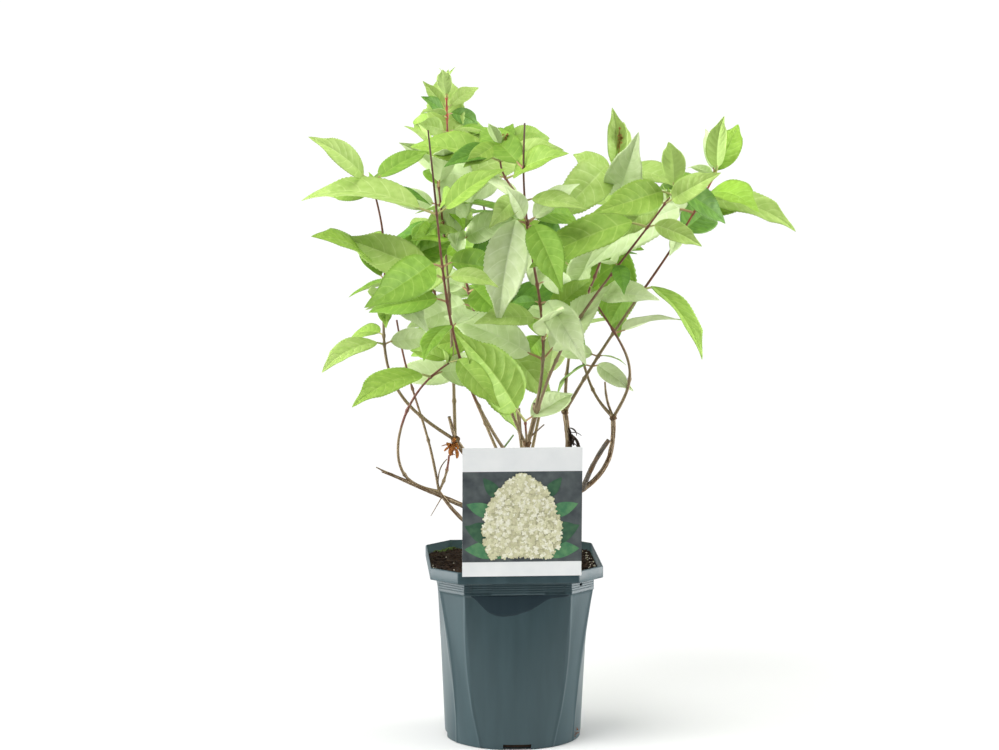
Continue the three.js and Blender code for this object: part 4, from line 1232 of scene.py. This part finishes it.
def make_blade(base, axis, up, side, length, width):
    """A leaf's blade: veins sunk, panels swollen, edge toothed and waved, tip bent."""
    share = np.abs(COLUMNS)[None, :]
    rows = ROWS[:, None]
    along = np.clip(rows + VEIN_SWEEP * 4 * rows * (1 - rows) * share**1.5, 0, 1)
    half = np.maximum(width / 2 * blade_outline(along), 0.8 * (1 - rows) + 0.12)
    slim_midrib = np.where(share < 0.1, 1 - 0.65 * rows, 1)
    across = COLUMNS[None, :] * half * slim_midrib
    tooth = (np.arange(len(ROWS)) % 2)[:, None] * (share == 1)
    across = across + np.sign(COLUMNS) * tooth * TOOTH["out"] * half
    along = along + tooth * TOOTH["forward"] * (1 - rows)
    between = np.clip((ROW_PHASE[:, None] - 0.05) / 0.95, 0, 1)
    swell = np.sin(math.pi * between) ** 0.8 * (1 - share**4) * (share > 0.1)
    offset = scatter.uniform(0, 2 * math.pi)
    turn = 2 * math.pi * scatter.uniform(*WAVES) * rows + offset + 1.5 * np.sign(COLUMNS)
    wave = np.sin(turn) * share**3
    fold = math.tan(math.radians(LEAF["fold"] * scatter.uniform(*FOLDING)))
    height = (
        np.abs(across) * fold * (0.75 + 0.25 * share)
        + 4 * LEAF["arch"] * length * along * (1 - along)
        + half * (SWELL * swell + scatter.uniform(*WAVINESS) * wave - 0.02 * (share == 0))
        - scatter.uniform(*DROOP) * length * along**4
    )
    twist = math.radians(scatter.uniform(*TWIST)) * along**1.5
    bend = scatter.uniform(*BEND) * length * np.sin(math.pi * along)
    lifted = height + across * np.sin(twist)
    moved = across * np.cos(twist) + bend
    top = base + axis * (along * length)[..., None] + side * moved[..., None] + up * lifted[..., None]
    thick = BLADE_THICK * (1 + 0.9 * (share < 0.1) * (1 - rows))
    under = top - up * thick[..., None]
    points = np.concatenate([top.reshape(-1, 3), under.reshape(-1, 3)])
    faces = len(vein_face)
    numbers = np.where(vein_face, 1, 0)
    return points, [(blade_faces[:faces], numbers), (blade_faces[faces:], numbers + 2), (blade_rim, 2)]


# %% One stalk
STALK_RADIUS = {"least": 0.55, "growth": 0.005, "foot": 1.25, "top": 0.8}


def one_finish(number):
    """The same finish all over a tube."""
    return lambda part, wave: np.full(len(part), number)


def make_stalk(node, base, axis, up, length, number):
    """A leaf's stalk: from inside the stem, curving into the midrib."""
    a, b, c, d = node, node * 0.5 + base * 0.5 - up * 0.25, base, base + axis * 0.05 * length

    def path(part):
        at = np.clip(np.asarray(part, float), 0, 1)[..., None]
        return a * (1 - at) ** 3 + 3 * b * at * (1 - at) ** 2 + 3 * c * at**2 * (1 - at) + d * at**3

    radius = STALK_RADIUS["least"] + STALK_RADIUS["growth"] * length
    radius_at = taper(radius * STALK_RADIUS["foot"], radius * STALK_RADIUS["top"])
    return bark_tube(path, 0, 0.99, radius_at, 8, 0.03, one_finish(number))


# %% [markdown]
# Leaf colours
# Young leaves at the tips are yellow-green. The other colours are partly the leaves' own greens and
# partly painted light: leaves in full light are given lime or bright green, leaves that strong light
# washes out pale green, and those behind, in shade, deep green. Each leaf has one of six plain
# colours, dealt out by the table. A paler finish goes on the veins, and the underside is pale and
# dull. Each colour is one piece, so that it stays simple to export and to repaint.

# %% Leaf net
# The finest veins make a net of small cells, which catches the light as fine quilting.
NET_EDGE = (0, 0.22)
net, net_in, net_out = start_group("Leaf net", [("Scale", NUMBER, 600), STRETCH], [("Height", NUMBER)])
noise = add_noise(net, net_in)
cells = net.nodes.new("ShaderNodeTexVoronoi")
cells.feature = "DISTANCE_TO_EDGE"
net.links.new(noise.inputs["Vector"].links[0].from_socket, cells.inputs["Vector"])
net.links.new(net_in.outputs["Scale"], cells.inputs["Scale"])
raised = add_ramp(net, cells.outputs["Distance"], NET_EDGE)
net.links.new(add_math(net, "ADD", raised, noise.outputs["Fac"]), net_out.inputs["Height"])
print("leaf net:", len(net.nodes), "nodes")

# %% Leaf finishes
# Each row: name, face, the colour it drifts to, veins.
# Lime, bright and pale are partly painted light, and deep partly painted shade.
LEAF_COLOURS = {
    "y": ("young", (158, 200, 70), (142, 184, 58), (176, 212, 100)),
    "l": ("lime", (169, 196, 104), (153, 184, 88), (185, 208, 128)),
    "b": ("bright", (143, 177, 68), (127, 163, 57), (161, 190, 91)),
    "g": ("grass", (128, 168, 54), (112, 153, 45), (144, 179, 74)),
    "d": ("deep", (92, 140, 32), (76, 122, 27), (108, 152, 48)),
    "p": ("pale", (218, 234, 184), (204, 223, 163), (226, 240, 197)),
}
UNDERSIDE = (198, 216, 156)
FACE_GLOSS, UNDER_GLOSS = 0.35, 0.2
LEAF_LOOK = {"drift_scale": 140, "dull": (0.5, 0.66), "grain_scale": 620, "grain": 0.15}


def leaf_finish(name, colour, second, gloss):
    """A soft green finish with a slight drift, over the net of fine veins."""
    finish = make_finish(name, colour, second, gloss=gloss, **LEAF_LOOK)
    for node in finish.node_tree.nodes:
        if node.type == "GROUP" and node.node_tree == relief:
            node.node_tree = net
    return finish


leaf_finishes = {}
for letter, (name, plain, second, vein) in LEAF_COLOURS.items():
    under = [(np.array(colour) + UNDERSIDE) / 2 for colour in (plain, second, vein)]
    leaf_finishes[letter] = [
        leaf_finish(f"{name}_leaf", plain, second, FACE_GLOSS),
        leaf_finish(f"{name}_leaf_veins", vein, plain, FACE_GLOSS),
        leaf_finish(f"{name}_underside", under[0], under[1], UNDER_GLOSS),
        leaf_finish(f"{name}_underside_veins", under[2], under[0], UNDER_GLOSS),
    ]
print("leaf finishes:", sum(map(len, leaf_finishes.values())))

# %% [markdown]
# Growing the leaves
# The shoots are walked one by one. Each leaf gives a blade for its colour's piece and a stalk for the
# piece of stalks. At the end of each growing shoot, the next leaves already stand close together: a
# few tiny young ones that hide the tip.

# %% Grow leaves
blades = {letter: [] for letter in LEAF_COLOURS}
owners = {letter: set() for letter in LEAF_COLOURS}
stalks = []


def grow_leaf(mass, node, letter, heading, rise, length, turned):
    """One leaf: its blade and its stalk."""
    base, axis, up, side, blade_length, width = leaf_frame(node, heading, rise, length, turned)
    blades[letter].append(make_blade(base, axis, up, side, blade_length, width))
    owners[letter].add(mass)
    stalks.append(make_stalk(node, base, axis, up, blade_length, int(letter in "ylb")))


def grow(mass, path, rows):
    """Every leaf of one shoot."""
    for colours, at, heading, *numbers in rows:
        for order, letter in enumerate(colours):
            rise, length, turned = numbers[3 * order:3 * order + 3]
            grow_leaf(mass, path(at), letter, heading + 180 * order, rise, length, turned)


TIP_AT = 0.965
# Each tiny leaf's heading, climb and length.
TIP_LEAVES = ((0, 62, 19), (180, 68, 17), (90, 74, 12), (270, 76, 11))


def grow_tip(mass, path, heading):
    """The young leaves close together at a shoot's end."""
    for turn, rise, length in TIP_LEAVES:
        grow_leaf(mass, path(TIP_AT), "y", heading + turn + scatter.uniform(-12, 12), rise, length, 0)


# %% Leaf pieces
shoots = {name: limb_path(*CANES[name][:4]) for name in CANES}
shoots.update(side=side_path, low_front=low_path)
OWNER = {"side": "foliage_middle"}
for name, path in shoots.items():
    mass = OWNER.get(name, f"foliage_{name}")
    grow(mass, path, LEAVES[name])
    if name not in BARE_TIPS:
        grow_tip(mass, path, LEAVES[name][-1][2] + 90)
# The lime, bright, pale and deep pieces carry painted light and shade in their colours.
for letter, parts in blades.items():
    name = f"{LEAF_COLOURS[letter][0]}_leaves"
    make_piece(name, parts, leaf_finishes[letter], sorted(owners[letter]))
make_piece("leaf_stalks", stalks, [stalk_pink, stalk_green], mass_nodes)
print("leaves:", sum(map(len, blades.values())))

# %% [markdown]
# Small dead things
# A real shrub is never clean. There is a tuft of orange-brown dead leaf bases on the left knuckle,
# blackened strips of bark curl away below the right one, and last year's flower heads have left dry
# stalks with husks on two tips. Curls are narrow closed sheets that roll up along their length. A few
# thin bare twigs stand among the limbs.

# %% Dead finishes
DRY = {"dull": (0.7, 0.9), "grain_scale": 1800, "grain": 0.5, "gloss": 0.2}
dead_orange = make_finish("dead_orange_leaf", (176, 112, 52), (128, 76, 38), 900, **DRY)
dead_black = make_finish(
    "blackened_bark", (42, 34, 28), (66, 52, 42), 900, (0.75, 0.95), 1800, 0.6, gloss=0.2
)
dry_husk = make_finish("dry_husk", (158, 132, 66), (120, 92, 48), 1200, **DRY)
dry_twig = make_finish(
    "dry_twig", (140, 124, 100), (112, 92, 70), 1200, (0.75, 0.95), 2200, 0.5, FIBRE, gloss=0.2
)
green_twig = make_finish(
    "green_twig", (128, 152, 96), (104, 132, 78), 1200, (0.6, 0.8), 2200, 0.3, FIBRE, gloss=0.3
)
print("finishes in all:", len(bpy.data.materials))


# %% One curl and one twig
CURL = {"steps": 12, "cup": 0.35, "thick": 0.3}


def curl(point, heading, rise, length, width, roll, number):
    """A narrow closed strip that rolls up on itself."""
    steps = np.linspace(0, 1, CURL["steps"])
    bearing = np.radians(rise + roll * steps)
    flat = direction(heading, 0)
    way = flat * np.cos(bearing)[:, None] + np.array([0, 0, 1]) * np.sin(bearing)[:, None]
    middle = point + np.cumsum(way, 0) * length / len(steps)
    side = np.cross(flat, [0, 0, 1])
    half = width / 2 * np.sin(math.pi * (0.12 + 0.8 * steps)) ** 0.7
    normal = np.cross(side, way)
    grid = middle[:, None] + side * (half[:, None] * np.array([-1, 0, 1]))[..., None]
    cup = CURL["cup"] * half[:, None] * np.array([1, 0, 1])
    grid = grid + normal[:, None] * cup[..., None]
    under = grid - normal[:, None] * CURL["thick"]
    points = np.concatenate([grid.reshape(-1, 3), under.reshape(-1, 3)])
    front, rim = shell_faces(len(steps), 3)
    return points, [(front, number), (rim, number)]


def twig(line, radius, number, sides=8):
    """A thin twig from one point to another, with a bow if the line gives one."""
    return bark_tube(limb_path(*line), 0, 1, taper(*radius), sides, 0.08, one_finish(number))


# %% Curls of dead leaf and bark
# How many, then the least and the most of their heading, climb, length, width and roll.
TUFT = (30, ((150, 330), (-60, 40), (5, 11), (2, 4.5), (-150, 150)))
PEEL = (4, ((-60, 30), (-70, 20), (8, 15), (1.8, 3.4), (-120, -40)))


def draw_curl(reaches, point, number):
    """One curl, with each of its measures drawn between two values."""
    return curl(point, *(scatter.uniform(*reach) for reach in reaches), number)


bits = []
for _ in range(TUFT[0]):
    spot = np.array(LEFT_KNUCKLE) + scatter.uniform(-3, 3, 3) + (-2.5, -3, -5)
    bits.append(draw_curl(TUFT[1], spot, 0))
right_limb = limb_path(*OLD_WOOD["old_limb_right"][:4])
for at in (0.76, 0.8, 0.84, 0.88):
    for _ in range(PEEL[0]):
        bits.append(draw_curl(PEEL[1], right_limb(at) + (1.5, -1.5, 0), 1))
print("curls:", len(bits))


# %% Husks and twigs
HUSK_STALKS = {"main": (0.7, 0.4), "branch": (0.35, 0.3), "bow": (2, 0, 0)}
HUSK_SIZES, HUSK_SPREAD = (0.8, 1.6), 4
BACK_HEAD = ((104, 86, 566), (107, 76, 602))
SIDE_HEAD = (side_path(1.0), side_path(1.0) + (5, -6, 10))


def husks(foot, tip, count):
    """A dry flower stalk with the husks still on it."""
    foot, tip = np.asarray(foot, float), np.asarray(tip, float)
    bits.append(twig((foot, tip, HUSK_STALKS["bow"]), HUSK_STALKS["main"], 2))
    for _ in range(count):
        at = foot + (tip - foot) * scatter.uniform(0.35, 1)
        at = at + scatter.uniform(-HUSK_SPREAD, HUSK_SPREAD, 3)
        fork = foot + (tip - foot) * scatter.uniform(0.3, 0.9)
        bits.append(twig((fork, at), HUSK_STALKS["branch"], 2, 5))
        bits.append(ball(at, scatter.uniform(*HUSK_SIZES), 2, 0.45, 7, 5))


husks(*BACK_HEAD, 13)
husks(*SIDE_HEAD, 9)
green_foot = shoots["front_left"](0.1)
# Each row: the twig's two ends, and a bow if it has one, then its radius at each end and its finish.
TWIGS = [
    (((8.5, -3, 300), (6.5, -8, 332)), (0.95, 0.7), 3),
    (((14, -6, 300), (31, -10, 316)), (1.0, 0.6), 3),
    ((green_foot, green_foot + (10, -3, 14)), (0.9, 0.8), 4),
    (((-70, -31, 247), (-81, -38, 229)), (0.6, 0.3), 3),
    (((-74, -29, 262), (-65, -26, 284), (-2, 0, 2)), (0.8, 0.5), 3),
    (((-122, -47.7, 273), (-134, -51, 280)), (1.3, 0.5), 3),
    (((55, 12, 303), (67, 8, 279), (3, 0, 5)), (1.0, 1.9), 1),
]
bits += [twig(*row) for row in TWIGS]
dead_finishes = [dead_orange, dead_black, dry_husk, dry_twig, green_twig]
make_piece("dead_bits_and_twigs", bits, dead_finishes)
